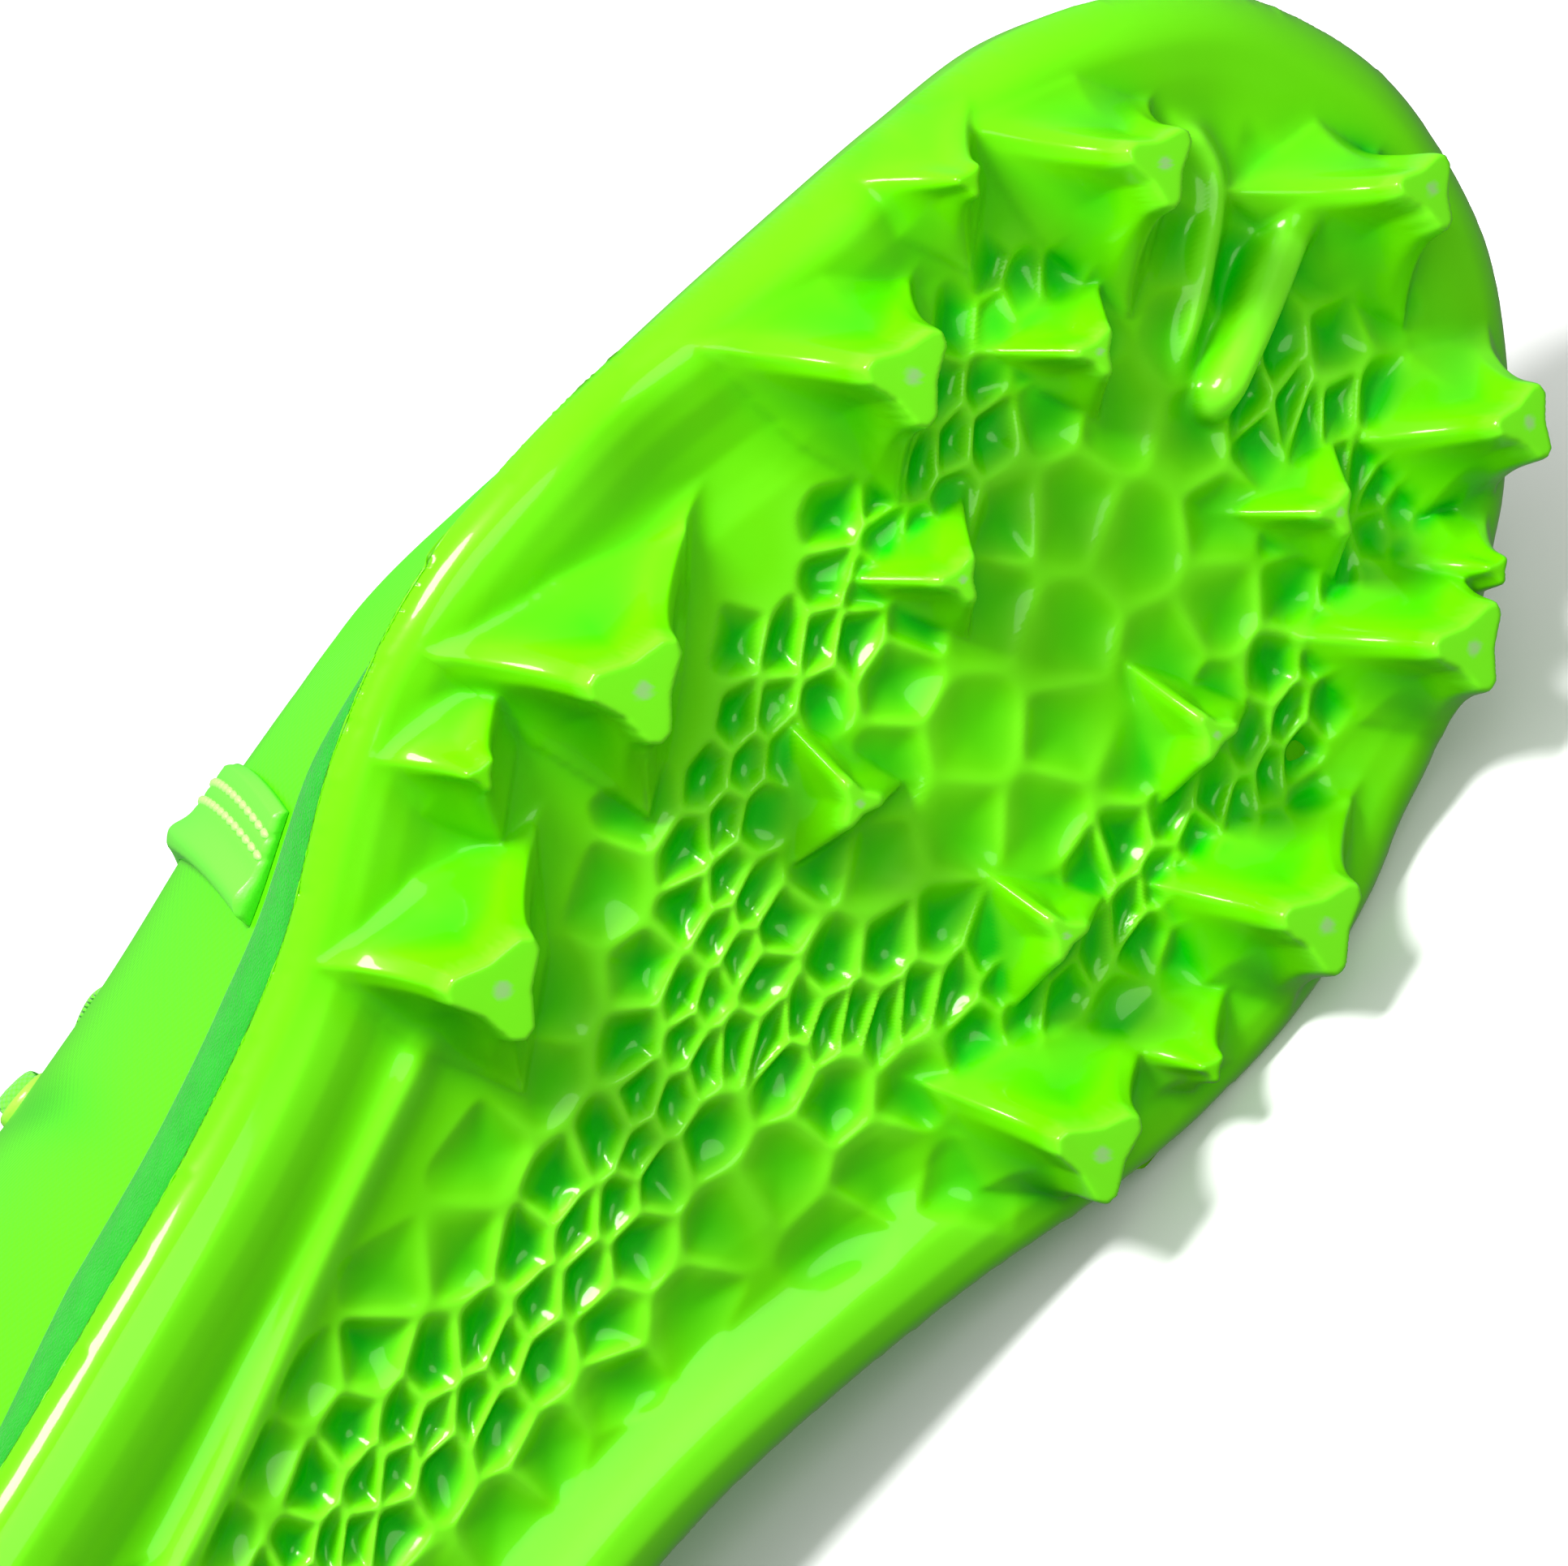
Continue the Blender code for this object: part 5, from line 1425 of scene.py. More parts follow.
def weave(tree, pitch_mm, strength, depth_mm=0.25):
    """A bump of crossed yarns, laid out on the piece's own millimetres."""
    uv = add_node(tree, "UVMap", uv_map="millimetres").outputs["UV"]
    parts = add_node(tree, "SeparateXYZ", {"Vector": uv})
    waves = []
    for name in ("X", "Y"):
        angle = add_node(tree, "Math", {0: parts.outputs[name], 1: 2 * pi / pitch_mm}, operation="MULTIPLY")
        waves.append(add_node(tree, "Math", {0: angle.outputs[0]}, operation="SINE").outputs[0])
    crossed = add_node(tree, "Math", {0: waves[0], 1: waves[1]}, operation="MULTIPLY").outputs[0]
    values = {"Height": crossed, "Strength": strength, "Distance": depth_mm * MM}
    return add_node(tree, "Bump", values).outputs["Normal"]


def film_over_knit(sizes):
    """Knit under a thin glossy film: smooth to the eye, with the yarns faintly telegraphing, and painted
    shade in the troughs of its creases.
    """
    material, tree, shader = new_material("film_over_knit")
    bare = add_node(tree, "Attribute", attribute_name="bare").outputs["Fac"]
    painted_crease_shade = add_node(tree, "Attribute", attribute_name="painted_crease_shade").outputs["Fac"]
    # Painted shade: the troughs of the creases are laid in the darker shade colour
    colour = mixed(tree, painted_crease_shade, sizes.upper_colour, sizes.painted_shade_colour)
    rough = add_node(tree, "MapRange", {"Value": bare, "To Min": 0.34, "To Max": 0.75})
    set_shader(tree, shader, {
        "Base Color": mixed(tree, bare, colour, sizes.knit_colour),
        "Roughness": rough.outputs["Result"],
        "Specular IOR Level": 0.3,
        "Specular Tint": SHINE_TINT,
        "Coat Weight": 0.1,
        "Coat Roughness": 0.12,
        "Coat Tint": COAT_TINT,
        "Normal": grain(tree, 0.35, 0.12, height=weave(tree, 1.1, 0.10)),
    })
    return material


def brushed_microfibre(sizes):
    """Brushed microfibre: fibres stand up, so it takes the light softly and never shines."""
    material, tree, shader = new_material("brushed_microfibre")
    place = add_node(tree, "TexCoord").outputs["Object"]
    nap = add_node(tree, "TexNoise", {"Vector": place, "Scale": 1000 / 2.5, "Detail": 5.0})
    colour = mixed(tree, nap.outputs["Fac"], sizes.rand_colour, linear(NAP_COLOUR))
    set_shader(tree, shader, {
        "Base Color": colour,
        "Roughness": 0.95,
        "Sheen Weight": 0.25,
        "Sheen Roughness": 0.4,
        "Specular IOR Level": 0.2,
        "Normal": grain(tree, 0.3, 0.7, 5.0, 0.4),
    })
    return material


def knitted_fabric(name, colour, pitch_mm=1.0):
    """Knitted polyester: rows of small loops that scatter the light."""
    material, tree, shader = new_material(name)
    set_shader(tree, shader, {
        "Base Color": colour,
        "Roughness": 0.85,
        "Sheen Weight": 0.2,
        "Specular IOR Level": 0.25,
        "Normal": grain(tree, 0.25, 0.3, height=weave(tree, pitch_mm, 0.8)),
    })
    return material


def coated_leather(name, colour, roughness=0.38, grain_mm=0.5):
    """Coated microfibre leather: a satin skin with a fine pebbled grain."""
    material, tree, shader = new_material(name)
    set_shader(tree, shader, {
        "Base Color": colour,
        "Roughness": roughness,
        "Coat Weight": 0.15,
        "Coat Roughness": 0.2,
        "Normal": grain(tree, grain_mm, 0.15),
    })
    return material


def twisted_thread(colour):
    """Bonded polyester thread: glossy filaments twisted together."""
    material, tree, shader = new_material("twisted_thread")
    set_shader(
        tree,
        shader,
        {"Base Color": colour, "Roughness": 0.45, "Sheen Weight": 0.1, "Normal": grain(tree, 0.2, 0.3)},
    )
    return material


def side_places():
    """Stations along each side of the shoe, from heel to toe."""
    return np.concatenate(
        [np.linspace(0, THROAT_END, UPPER_STATIONS)[:-1], np.linspace(THROAT_END, 1, UPPER_STATIONS // 4)]
    )


def crease_relief(side, rounds, up):
    """Soft troughs (below zero) and ridges of the upper, from the table of creases."""
    relief = np.zeros(rounds.shape)
    for row in CREASES:
        crease = dict(zip(CREASE_COLUMNS, row))
        if crease["side"] not in (side, 0):
            continue
        run = (rounds - crease["round"]) * HALF_ROUND_LENGTH
        rise = (up - crease["up"]) * SIDE_LENGTH
        turn = radians(crease["turn"])
        along = (run * cos(turn) + rise * sin(turn)) / crease["length"]
        across = (-run * sin(turn) + rise * cos(turn)) / crease["width"]
        relief += crease["height"] * np.exp(-2 * along**2 - 2 * across**2)
    return relief


def eyelet_places():
    """The eyelets' places round the upper, from the top of the throat to its front."""
    return np.linspace(*EYELET_SPAN, EYELET_PAIRS)


def eyelet_up(side, share):
    """How far up the side an eyelet lies, a fixed distance from the throat's edge."""
    rows = np.linspace(0.5, 1, 60)
    line = upper_face(side, np.full(rows.shape, share), rows)
    away = np.linalg.norm(line - line[-1], axis=-1)
    return float(np.interp(EYELET_INSET, away[::-1], rows[::-1]))


def rolled_edge(side, rounds):
    """Points over the rounded top edge of the upper, from its outer face to its lining."""
    top = np.ones(rounds.shape)
    angles = np.linspace(0, pi, ROLL_POINTS)[1:]
    edge = upper_point(side, rounds, top)
    out = upper_point(side, rounds, top, 1.0) - edge
    rise = unit(edge - upper_face(side, rounds, top - STEP))
    half = (wall_at(rounds, top) / 2)[:, None, None]
    swell = np.minimum(half, ROLL_HEIGHT)
    turned = out[:, None] * (np.cos(angles)[None, :, None] - 1) * half
    return edge[:, None] + turned + rise[:, None] * np.sin(angles)[None, :, None] * swell


def side_sheets(side, rounds, ups):
    """One side's outer face with its rolled edge, the values on it, and the lining behind it."""
    places, heights = np.meshgrid(rounds, ups, indexing="ij")
    relief = crease_relief(side, places, heights)
    rolled = rolled_edge(side, rounds)
    skin = np.concatenate([upper_point(side, places, heights, relief), rolled], axis=1)
    lined = heights[:, ::-1]
    lining = upper_point(side, places, lined, -wall_at(places, lined))
    lining[:, 0] = rolled[:, -1]
    shape = skin.shape[:2]
    bare, painted_crease_shade = np.zeros((2, *shape))
    bare[:, :UPPER_ROWS] = bare_zone(side, places, heights)
    # Painted shade in the troughs of the creases
    painted_crease_shade[:, :UPPER_ROWS] = np.clip(-relief, 0, 1)
    run = np.broadcast_to(rounds[:, None] * HALF_ROUND_LENGTH, shape)
    climb = np.broadcast_to(np.arange(shape[1]) / UPPER_ROWS * SIDE_LENGTH, shape)
    return skin, (bare, painted_crease_shade, run, climb), lining


def skin_faces(skin, rounds):
    """Faces of one side's skin, without the rolled edge ahead of the throat."""
    faces = grid_faces(*skin.shape[:2])
    station, row = np.divmod(np.arange(len(faces)), skin.shape[1] - 1)
    return faces[(row < UPPER_ROWS - 1) | (rounds[station] < THROAT_END - EXACT)]


def two_sides(sheets, middles):
    """Sheets of both sides joined where they meet, open at the eyelets, with their values."""
    points, quads, values, first = [], [], [], 0
    for sheet, faces, fields in sheets:
        points.append(sheet.reshape(-1, 3))
        quads.append(clear_of(points[-1], faces, middles) + first)
        values.append(np.stack([np.reshape(field, -1) for field in fields], axis=-1))
        first += len(points[-1])
    return merged(np.concatenate(points), np.concatenate(quads), *np.concatenate(values).T)


def make_upper(sizes):
    """The upper's outer face with its rolled top edge, its lining and its eyelet rings."""
    rounds = side_places()
    thin = np.append(np.arange(0, len(rounds), LINING_STEP), [UPPER_STATIONS - 1, len(rounds) - 1])
    thin = np.unique(thin)
    skins, linings, holes = [], [], []
    for side in (OUTER, INNER):
        skin, fields, lining = side_sheets(side, rounds, np.linspace(0, 1, UPPER_ROWS))
        skins.append((skin, skin_faces(skin, rounds), fields))
        lining, run, climb = [field[thin, :UPPER_ROWS][:, ::2] for field in (lining, *fields[2:])]
        linings.append((lining, grid_faces(*lining.shape[:2]), (run, climb)))
        for share in eyelet_places():
            up = eyelet_up(side, share)
            holes.append((upper_point(side, share, up), upper_point(side, share, up, 1.0)))
    close_seams(skins[0][0], skins[1][0], rounds, UPPER_ROWS - 1)
    close_seams(linings[0][0], linings[1][0], rounds[thin], 0)
    middles = [middle for middle, _ in holes]
    points, faces, bare, painted_crease_shade, run, climb = two_sides(skins, middles)
    points = round_ridge(points, faces[0], run / HALF_ROUND_LENGTH, climb / SIDE_LENGTH)
    film = film_over_knit(sizes)
    uvs = np.stack([run, climb], axis=-1)
    skin = build_piece("upper_skin", points, faces, film, {"bare": bare, "painted_crease_shade": painted_crease_shade}, uvs)
    points, faces, run, climb = two_sides(linings, middles)
    points = round_ridge(points, faces[0], run / HALF_ROUND_LENGTH, 1 - climb / SIDE_LENGTH)
    knit = knitted_fabric("lining_knit", sizes.lining_colour, 1.3)
    lining = build_piece("upper_lining", points, faces, knit, uvs=np.stack([run, climb], axis=-1))
    rings = joined(*[eyelet_ring(middle, tip - middle) for middle, tip in holes])
    rubber = coated_leather("eyelet_rubber", sizes.trim_colour, 0.3)
    for piece in (skin, lining, build_piece("eyelet_rings", *rings, rubber)):
        settle(piece, "upper", "upper")


def close_seams(first, second, rounds, top):
    """Gives both sides of the upper the same points where they meet: heel, toe and vamp."""
    ahead = np.flatnonzero(rounds >= THROAT_END - EXACT)
    for seam in ((0, slice(None)), (-1, slice(None)), (ahead, top)):
        middle = (first[seam] + second[seam]) / 2
        first[seam] = middle
        second[seam] = middle


def round_ridge(points, quads, rounds, ups):
    """Rounds the line down the middle of the vamp, where the two sides of the upper meet."""
    away = np.minimum((1 - ups) * SIDE_LENGTH, (1 - rounds) * HALF_ROUND_LENGTH)
    weight = smooth_step(RIDGE_REACH, 0.3 * RIDGE_REACH, away)
    weight *= smooth_step(THROAT_END + 0.004, THROAT_END + 0.03, rounds) * smooth_step(0.02, 0.10, ups)
    ends = np.concatenate([quads[:, [k, (k + 1) % 4]] for k in range(4)])
    ends = ends[(weight[ends] > 0).any(axis=1)]
    here, there = np.concatenate([ends, ends[:, ::-1]]).T
    count = np.maximum(np.bincount(here, minlength=len(points)), 1)
    points = points.copy()
    for _ in range(RIDGE_ROUNDS):
        for axis in range(3):
            mean = np.bincount(here, points[there, axis], len(points)) / count
            points[:, axis] += RIDGE_PULL * weight * (mean - points[:, axis])
    return points


def clear_of(points, faces, middles):
    """The faces that don't lie over an eyelet's hole."""
    centres = points[faces].mean(axis=1)
    nearest = np.full(len(faces), FAR)
    for middle in middles:
        nearest = np.minimum(nearest, np.linalg.norm(centres - middle, axis=1))
    return faces[nearest > EYELET_DIAMETER / 2 + EYELET_GAP]


def eyelet_ring(middle, out):
    """A moulded ring round an eyelet's hole, with a sleeve through the upper."""
    out = unit(out)
    aside = unit(np.cross(out, [0, 0, 1.0]))
    ahead = np.cross(out, aside)
    half = EYELET_RING / 2
    section = [(0.0, -EYELET_SLEEVE)]
    section += [(half - half * cos(a), 0.2 + half * sin(a)) for a in np.linspace(0, pi, 7)]
    section.append((EYELET_RING, -0.4))
    turns = np.linspace(0, 2 * pi, 24, endpoint=False)
    rings = []
    for reach, rise in section:
        radius = EYELET_DIAMETER / 2 - 0.1 + reach
        rings.append([middle + (aside * cos(t) + ahead * sin(t)) * radius + out * rise for t in turns])
    return np.array(rings), loop_faces(len(rings), len(turns))


def bare_zone(side, rounds, up):
    """Where the upper is bare, brushed knit: low along the ball of the foot."""
    run = smooth_step(0.60, 0.63, rounds) * smooth_step(0.76, 0.72, rounds)
    return run * smooth_step(0.42, 0.30, up) * (side == OUTER)


def slab(front, back):
    """A closed slab between two grids of points of the same shape."""
    rows, columns = front.shape[:2]
    points = np.concatenate([front.reshape(-1, 3), back.reshape(-1, 3)])
    faces = grid_faces(rows, columns)
    shift = rows * columns
    numbers = np.arange(shift).reshape(rows, columns)
    loop = np.concatenate([numbers[0], numbers[1:, -1], numbers[-1, -2::-1], numbers[-2:0:-1, 0]])
    following = np.roll(loop, -1)
    side = np.stack([loop, following, following + shift, loop + shift], axis=-1)
    return points, np.concatenate([faces, faces[:, ::-1] + shift, side])


def soft_slab(face, back, radius=0.8):
    """A slab whose front is rounded down to its back along every edge."""
    gap = np.minimum(distance_to_border(face), radius)
    keep = 1 - np.sqrt(np.clip(1 - ((radius - gap) / radius) ** 2, 0, 1))
    keep = np.clip(keep, 0, 1)[..., None]
    thick = face - back
    share = np.clip(radius / np.maximum(np.linalg.norm(thick, axis=-1, keepdims=True), EXACT), 0, 1)
    return slab(face - thick * keep * share * 0.9, back)


def distance_to_border(face):
    """How far each point of a grid lies from the grid's nearest edge."""
    steps_down = np.linalg.norm(np.diff(face, axis=0), axis=-1)
    steps_over = np.linalg.norm(np.diff(face, axis=1), axis=-1)
    down = np.concatenate([np.zeros((1, face.shape[1])), np.cumsum(steps_down, axis=0)])
    over = np.concatenate([np.zeros((face.shape[0], 1)), np.cumsum(steps_over, axis=1)], axis=1)
    return np.minimum(np.minimum(down, down[-1] - down), np.minimum(over, over[:, -1:] - over))


def refined(grid, rows, columns):
    """A coarse grid of points read smoothly at more rows and columns."""
    grid = np.asarray(grid, float)
    for count in (rows, columns):
        knots = np.arange(grid.shape[0], dtype=float)
        wanted = np.linspace(0, knots[-1], count)
        flat = grid.reshape(grid.shape[0], -1)
        smooth = np.stack([smooth_through(knots, column, wanted) for column in flat.T], axis=-1)
        grid = smooth.reshape(count, grid.shape[1], 3).transpose(1, 0, 2)
    return grid


def run_along(path):
    """How far along a path each of its points is."""
    return np.concatenate([[0], np.cumsum(np.linalg.norm(np.diff(path, axis=0), axis=1))])


def read_path(path, run, places):
    """Points of a path at distances along it, read in straight lines."""
    return np.stack([np.interp(places, run, column) for column in path.T], axis=-1)


def smooth_path(points, count):
    """A path through a few points, read smoothly at even steps."""
    run = run_along(points)
    wanted = np.linspace(0, run[-1], count)
    return np.stack([smooth_through(run, column, wanted) for column in points.T], axis=-1), wanted


def tongue_centre(share, drop):
    """A point of the tongue's middle line under the throat, a little above its edges."""
    edges = [upper_point(side, share, 1.0, -drop) for side in (OUTER, INNER)]
    width = np.linalg.norm(edges[0] - edges[1])
    return (edges[0] + edges[1]) / 2 + np.array([0, 0, width * TONGUE_CROWN])


def tongue_face(depth):
    """A grid over the tongue: rows from under the vamp to its free top, columns across it."""
    grid = []
    for share in np.linspace(*TONGUE_SPAN, TONGUE_ROWS):
        wall = float(wall_at(share - TONGUE_AHEAD, 1.0))
        drop = wall + FIT_GAP * 2 + depth
        outer = [upper_point(OUTER, share, up, -drop) for up in TONGUE_UPS]
        inner = [upper_point(INNER, share, up, -drop) for up in reversed(TONGUE_UPS)]
        grid.append(outer + [tongue_centre(share, drop)] + inner)
    across = grid[-1] - np.mean(grid[-1], axis=0)
    middle, reached = np.mean(grid[-1], axis=0), 0.0
    for part, lean, width in TONGUE_TOP:
        step = (part - reached) * TONGUE_STAND
        middle = middle + np.array([0, -cos(radians(lean)), sin(radians(lean))]) * step
        grid.append(middle + across * width)
        reached = part
    return np.array(grid)


def make_tongue(sizes):
    """The padded tongue, with quilted rows across it."""
    front = refined(tongue_face(0.0), *TONGUE_GRID)
    back = refined(tongue_face(TONGUE_THICKNESS), *TONGUE_GRID)
    run = np.linspace(0, 1, TONGUE_GRID[0])[:, None]
    quilt = QUILT_DEPTH * np.abs(np.sin(run * pi * QUILT_ROWS)) ** 0.5 - 0.10
    front = front + (front - back) * quilt[..., None]
    points, faces = soft_slab(front, back, 1.6)
    uvs = np.concatenate([grid_uvs(front)] * 2)
    fabric = knitted_fabric("tongue_knit", sizes.knit_colour, 1.0)
    settle(build_piece("tongue_pad", points, faces, fabric, uvs=uvs), "tongue", "tongue")


def grid_uvs(face):
    """Millimetres along the rows and columns of a grid of points."""
    down = np.cumsum(np.linalg.norm(np.diff(face, axis=0, prepend=face[:1]), axis=-1), axis=0)
    over = np.cumsum(np.linalg.norm(np.diff(face, axis=1, prepend=face[:, :1]), axis=-1), axis=1)
    return np.stack([over, down], axis=-1).reshape(-1, 2)


def ribbon(path, normals, width, thickness, sides=14):
    """A flat lace along a path, with rounded edges and closed ends, and its millimetres."""
    way = unit(np.gradient(path, axis=0))
    normals = unit(normals - (normals * way).sum(axis=1, keepdims=True) * way)
    aside = np.cross(way, normals)
    turns = np.linspace(0, 2 * pi, sides, endpoint=False)
    x = np.sign(np.cos(turns)) * np.abs(np.cos(turns)) ** 0.7 * width / 2
    z = np.sign(np.sin(turns)) * np.abs(np.sin(turns)) ** 0.9 * thickness / 2
    rings = path[:, None] + aside[:, None] * x[None, :, None] + normals[:, None] * z[None, :, None]
    start, end = [np.broadcast_to(path[k], (1, sides, 3)) for k in (0, -1)]
    closed = np.concatenate([start, rings, end])
    run = run_along(path)
    run = np.concatenate([[0], run, run[-1:]])
    uvs = np.stack(np.broadcast_arrays(x[None], run[:, None]), axis=-1)
    return closed, loop_faces(len(closed), sides), uvs.reshape(-1, 2)


def lace_stops(start, end, over):
    """Points that one crossing of the lace passes, from eyelet to eyelet, and directions out."""
    (start_side, start_share), (end_side, end_share) = start, end
    turns = np.interp((LACE_TURN, 0.5, 1 - LACE_TURN), (0, 1), (start_share, end_share))
    start_up, end_up = eyelet_up(*start), eyelet_up(*end)
    over_edge = LACE_CLEARANCE + 0.6
    stops = (
        (start_side, start_share, start_up, -LACE_TUCK),
        (start_side, start_share, start_up, LACE_EXIT),
        (start_side, turns[0], 1.0, over_edge),
        (end_side, turns[2], 1.0, over_edge),
        (end_side, end_share, end_up, LACE_EXIT),
        (end_side, end_share, end_up, -LACE_TUCK),
    )
    way = [upper_point(*stop) for stop in stops]
    outs = [upper_point(*stop[:3], 1.0) - upper_point(*stop[:3]) for stop in stops]
    way.insert(3, tongue_centre(turns[1], 0.0) + np.array([0, 0, LACE_CLEARANCE + 0.8 + over]))
    outs.insert(3, outs[2] + outs[3])
    return np.array(way), np.array(outs)


def make_lace(sizes):
    """The flat lace: each crossing leaves an eyelet, crosses the tongue and goes in again."""
    places = eyelet_places()
    crossings = [((OUTER, places[-1]), (INNER, places[-1]), 0.0)]
    for here, following in zip(places[:-1], places[1:]):
        crossings.append(((OUTER, here), (INNER, following), LACE_OVER))
        crossings.append(((INNER, here), (OUTER, following), -LACE_UNDER))
    parts, uvs = [], []
    for crossing in crossings:
        way, outs = lace_stops(*crossing)
        path, run = smooth_path(way, LACE_POINTS)
        normals = read_path(outs, run_along(way), run)
        points, faces, lace_uvs = ribbon(path, normals, sizes.lace_width, LACE_THICKNESS)
        parts.append((points, faces))
        uvs.append(lace_uvs)
    points, faces = joined(*parts)
    cloth = knitted_fabric("woven_polyester", sizes.lace_colour, 0.8)
    settle(build_piece("lace_crossings", points, faces, cloth, uvs=np.concatenate(uvs)), "lace", "lace")


def edge_rings(rounds, profile):
    """Closed rings round the shoe for each inset and height over the flat plate."""
    places = np.concatenate([rounds, 2 - rounds[-2:0:-1]])
    shares = np.concatenate([rounds, rounds[-2:0:-1]])
    return np.array([level_ring(places, *level) for level in profile(shares)])


def spanned(ring, columns):
    """A grid across a closed ring, from its outer half to its inner half."""
    half = len(ring) // 2 + 1
    outer = ring[:half]
    inner = np.concatenate([ring[:1], ring[: half - 2 : -1]])
    share = np.linspace(0, 1, columns)[None, :, None]
    return outer[:, None] * (1 - share) + inner[:, None] * share


def ring_solid(rings, columns):
    """A closed layer from rings round the shoe, spanned by grids at its bottom and top."""
    parts = [(rings, loop_faces(len(rings), len(rings[0])))]
    for ring in (rings[0], rings[-1]):
        grid = spanned(ring, columns)
        parts.append((grid, grid_faces(*grid.shape[:2])))
    points, quads = joined(*parts)
    return merged(points, quads, *points[:, :2].T)


def make_midsole(sizes):
    """The board and its soft rand, rounded along the edge that shows."""

    def profile(shares):
        inset = board_inset(shares)
        top = MIDSOLE_TOP + rand_rise(shares)
        low, full = MIDSOLE_BASE + 0.15 * MIDSOLE_THICKNESS, MIDSOLE_BASE + 0.4 * MIDSOLE_THICKNESS
        yield inset + BOARD_INSET, MIDSOLE_BASE
        yield inset + 0.2, low
        yield inset, full
        for share in (0.3, 0.6, 0.9):
            yield inset - RAND_SWELL * sin(pi * share), full + (top - full) * share
        yield inset + 0.15, top - 0.12
        yield inset + 0.5, top
        yield inset + RAND_WALL - 0.4, top
        yield inset + RAND_WALL, top - 0.3
        yield inset + RAND_WALL, MIDSOLE_TOP

    points, faces, _, _ = ring_solid(edge_rings(np.linspace(0, 1, 420), profile), 12)
    settle(build_piece("rand_and_board", points, faces, brushed_microfibre(sizes)), "midsole", "midsole")


def make_insole(sizes):
    """The loose sock liner, with a rounded edge."""

    def profile(shares):
        inset = board_inset(shares) + max(RAND_WALL, UPPER_TUCK + UPPER_WALL) + 2 * FIT_GAP
        base = MIDSOLE_TOP + FIT_GAP
        yield inset + UPPER_WALL / 2, base
        yield inset, base + 0.5 * INSOLE_THICKNESS
        yield inset + 0.2, base + 0.85 * INSOLE_THICKNESS
        yield inset + 0.9, base + INSOLE_THICKNESS

    points, faces, x, y = ring_solid(edge_rings(np.linspace(0, 1, 320), profile), 40)
    cloth = knitted_fabric("sock_liner_knit", sizes.lining_colour, 1.4)
    liner = build_piece("sock_liner", points, faces, cloth, uvs=np.stack([x, y], axis=-1))
    settle(liner, "insole", "insole")


def stitches(path, normals, pitch, length, width):
    """A row of thread beads along a path on a surface."""
    run = run_along(path)
    places = np.arange(pitch / 2, run[-1], pitch)
    middle = read_path(path, run, places)
    ahead = unit(read_path(path, run, places + 0.3) - middle)
    out = unit(read_path(normals, run, places))
    aside = np.cross(ahead, out)
    tilts = np.linspace(0, pi, 7)
    turns = np.linspace(0, 2 * pi, 8, endpoint=False)
    t, a = np.meshgrid(tilts, turns, indexing="ij")
    round_part = np.sin(t) * width / 2
    bead = np.stack([-np.cos(t) * length / 2, round_part * np.cos(a), round_part * np.sin(a)], axis=-1)
    faces = loop_faces(len(tilts), len(turns))
    bead_axes = np.stack([ahead, aside, out], axis=1)
    parts = [(bead.reshape(-1, 3) @ axes + spot, faces) for axes, spot in zip(bead_axes, middle)]
    return joined(*parts)


def surface_path(side, rounds, ups, lift):
    """Points on the upper and the directions out of it."""
    path = upper_point(side, rounds, ups, lift)
    return path, upper_point(side, rounds, ups, lift + 1.0) - path


def make_band(name, side, line, sizes):
    """A padded band up one side of the upper: a rolled rear edge and two rows of stitches."""
    ends = table_column(line, BAND_COLUMNS, "up")
    ups = np.linspace(ends[0], ends[-1], 150)
    middle = read_table(line, BAND_COLUMNS, "round", ups)
    half = BAND_WIDTH / 2 / HALF_ROUND_LENGTH
    across = np.linspace(-1, 1, 44)
    places = middle[:, None] + across[None] * half
    heights = np.broadcast_to(ups[:, None], places.shape)
    roll = np.exp(-(((across + 0.62) / 0.30) ** 2))
    flat = smooth_step(1.0, 0.86, across)
    rows = sum(np.exp(-(((across - row) / 0.07) ** 2)) for row in BAND_STITCHES)
    lift = OVERLAY_GAP + 0.25 + 0.75 * flat + 1.1 * roll - 0.35 * rows * flat
    lift = lift * smooth_step(-1.02, -0.88, across) + OVERLAY_GAP * 0.2
    front = upper_point(side, places, heights, np.broadcast_to(lift[None], places.shape))
    back = upper_point(side, places, heights, np.full(places.shape, BAND_BACK))
    points, faces = slab(front, back)
    leather = coated_leather(name + "_leather", sizes.band_colour, 0.42, 0.35)
    settle(build_piece(name + "_pad", points, faces, leather), name, name)
    threads = []
    for row in BAND_STITCHES:
        path, out = surface_path(side, middle + row * half, ups, OVERLAY_GAP + 0.85)
        threads.append(stitches(path, out, 2.1, 1.75, 1.05))
    thread = twisted_thread(sizes.thread_colour)
    settle(build_piece(name + "_stitches", *joined(*threads), thread), name, name)


def border_line(edge, ups, inset):
    """The counter's front edge with its top edge back to the heel, a distance in from both."""
    front = edge - inset / HALF_ROUND_LENGTH
    high = ups - inset / SIDE_LENGTH
    low = high >= ups[0]
    back = np.linspace(front[-1], 0, 90)[1:]
    rounds = np.concatenate([front[low], back])
    heights = np.concatenate([high[low], np.full(len(back), high[-1])])
    window = np.ones(7) / 7
    for line in (rounds, heights):
        line[3:-3] = np.convolve(line, window, "valid")
    return rounds, heights


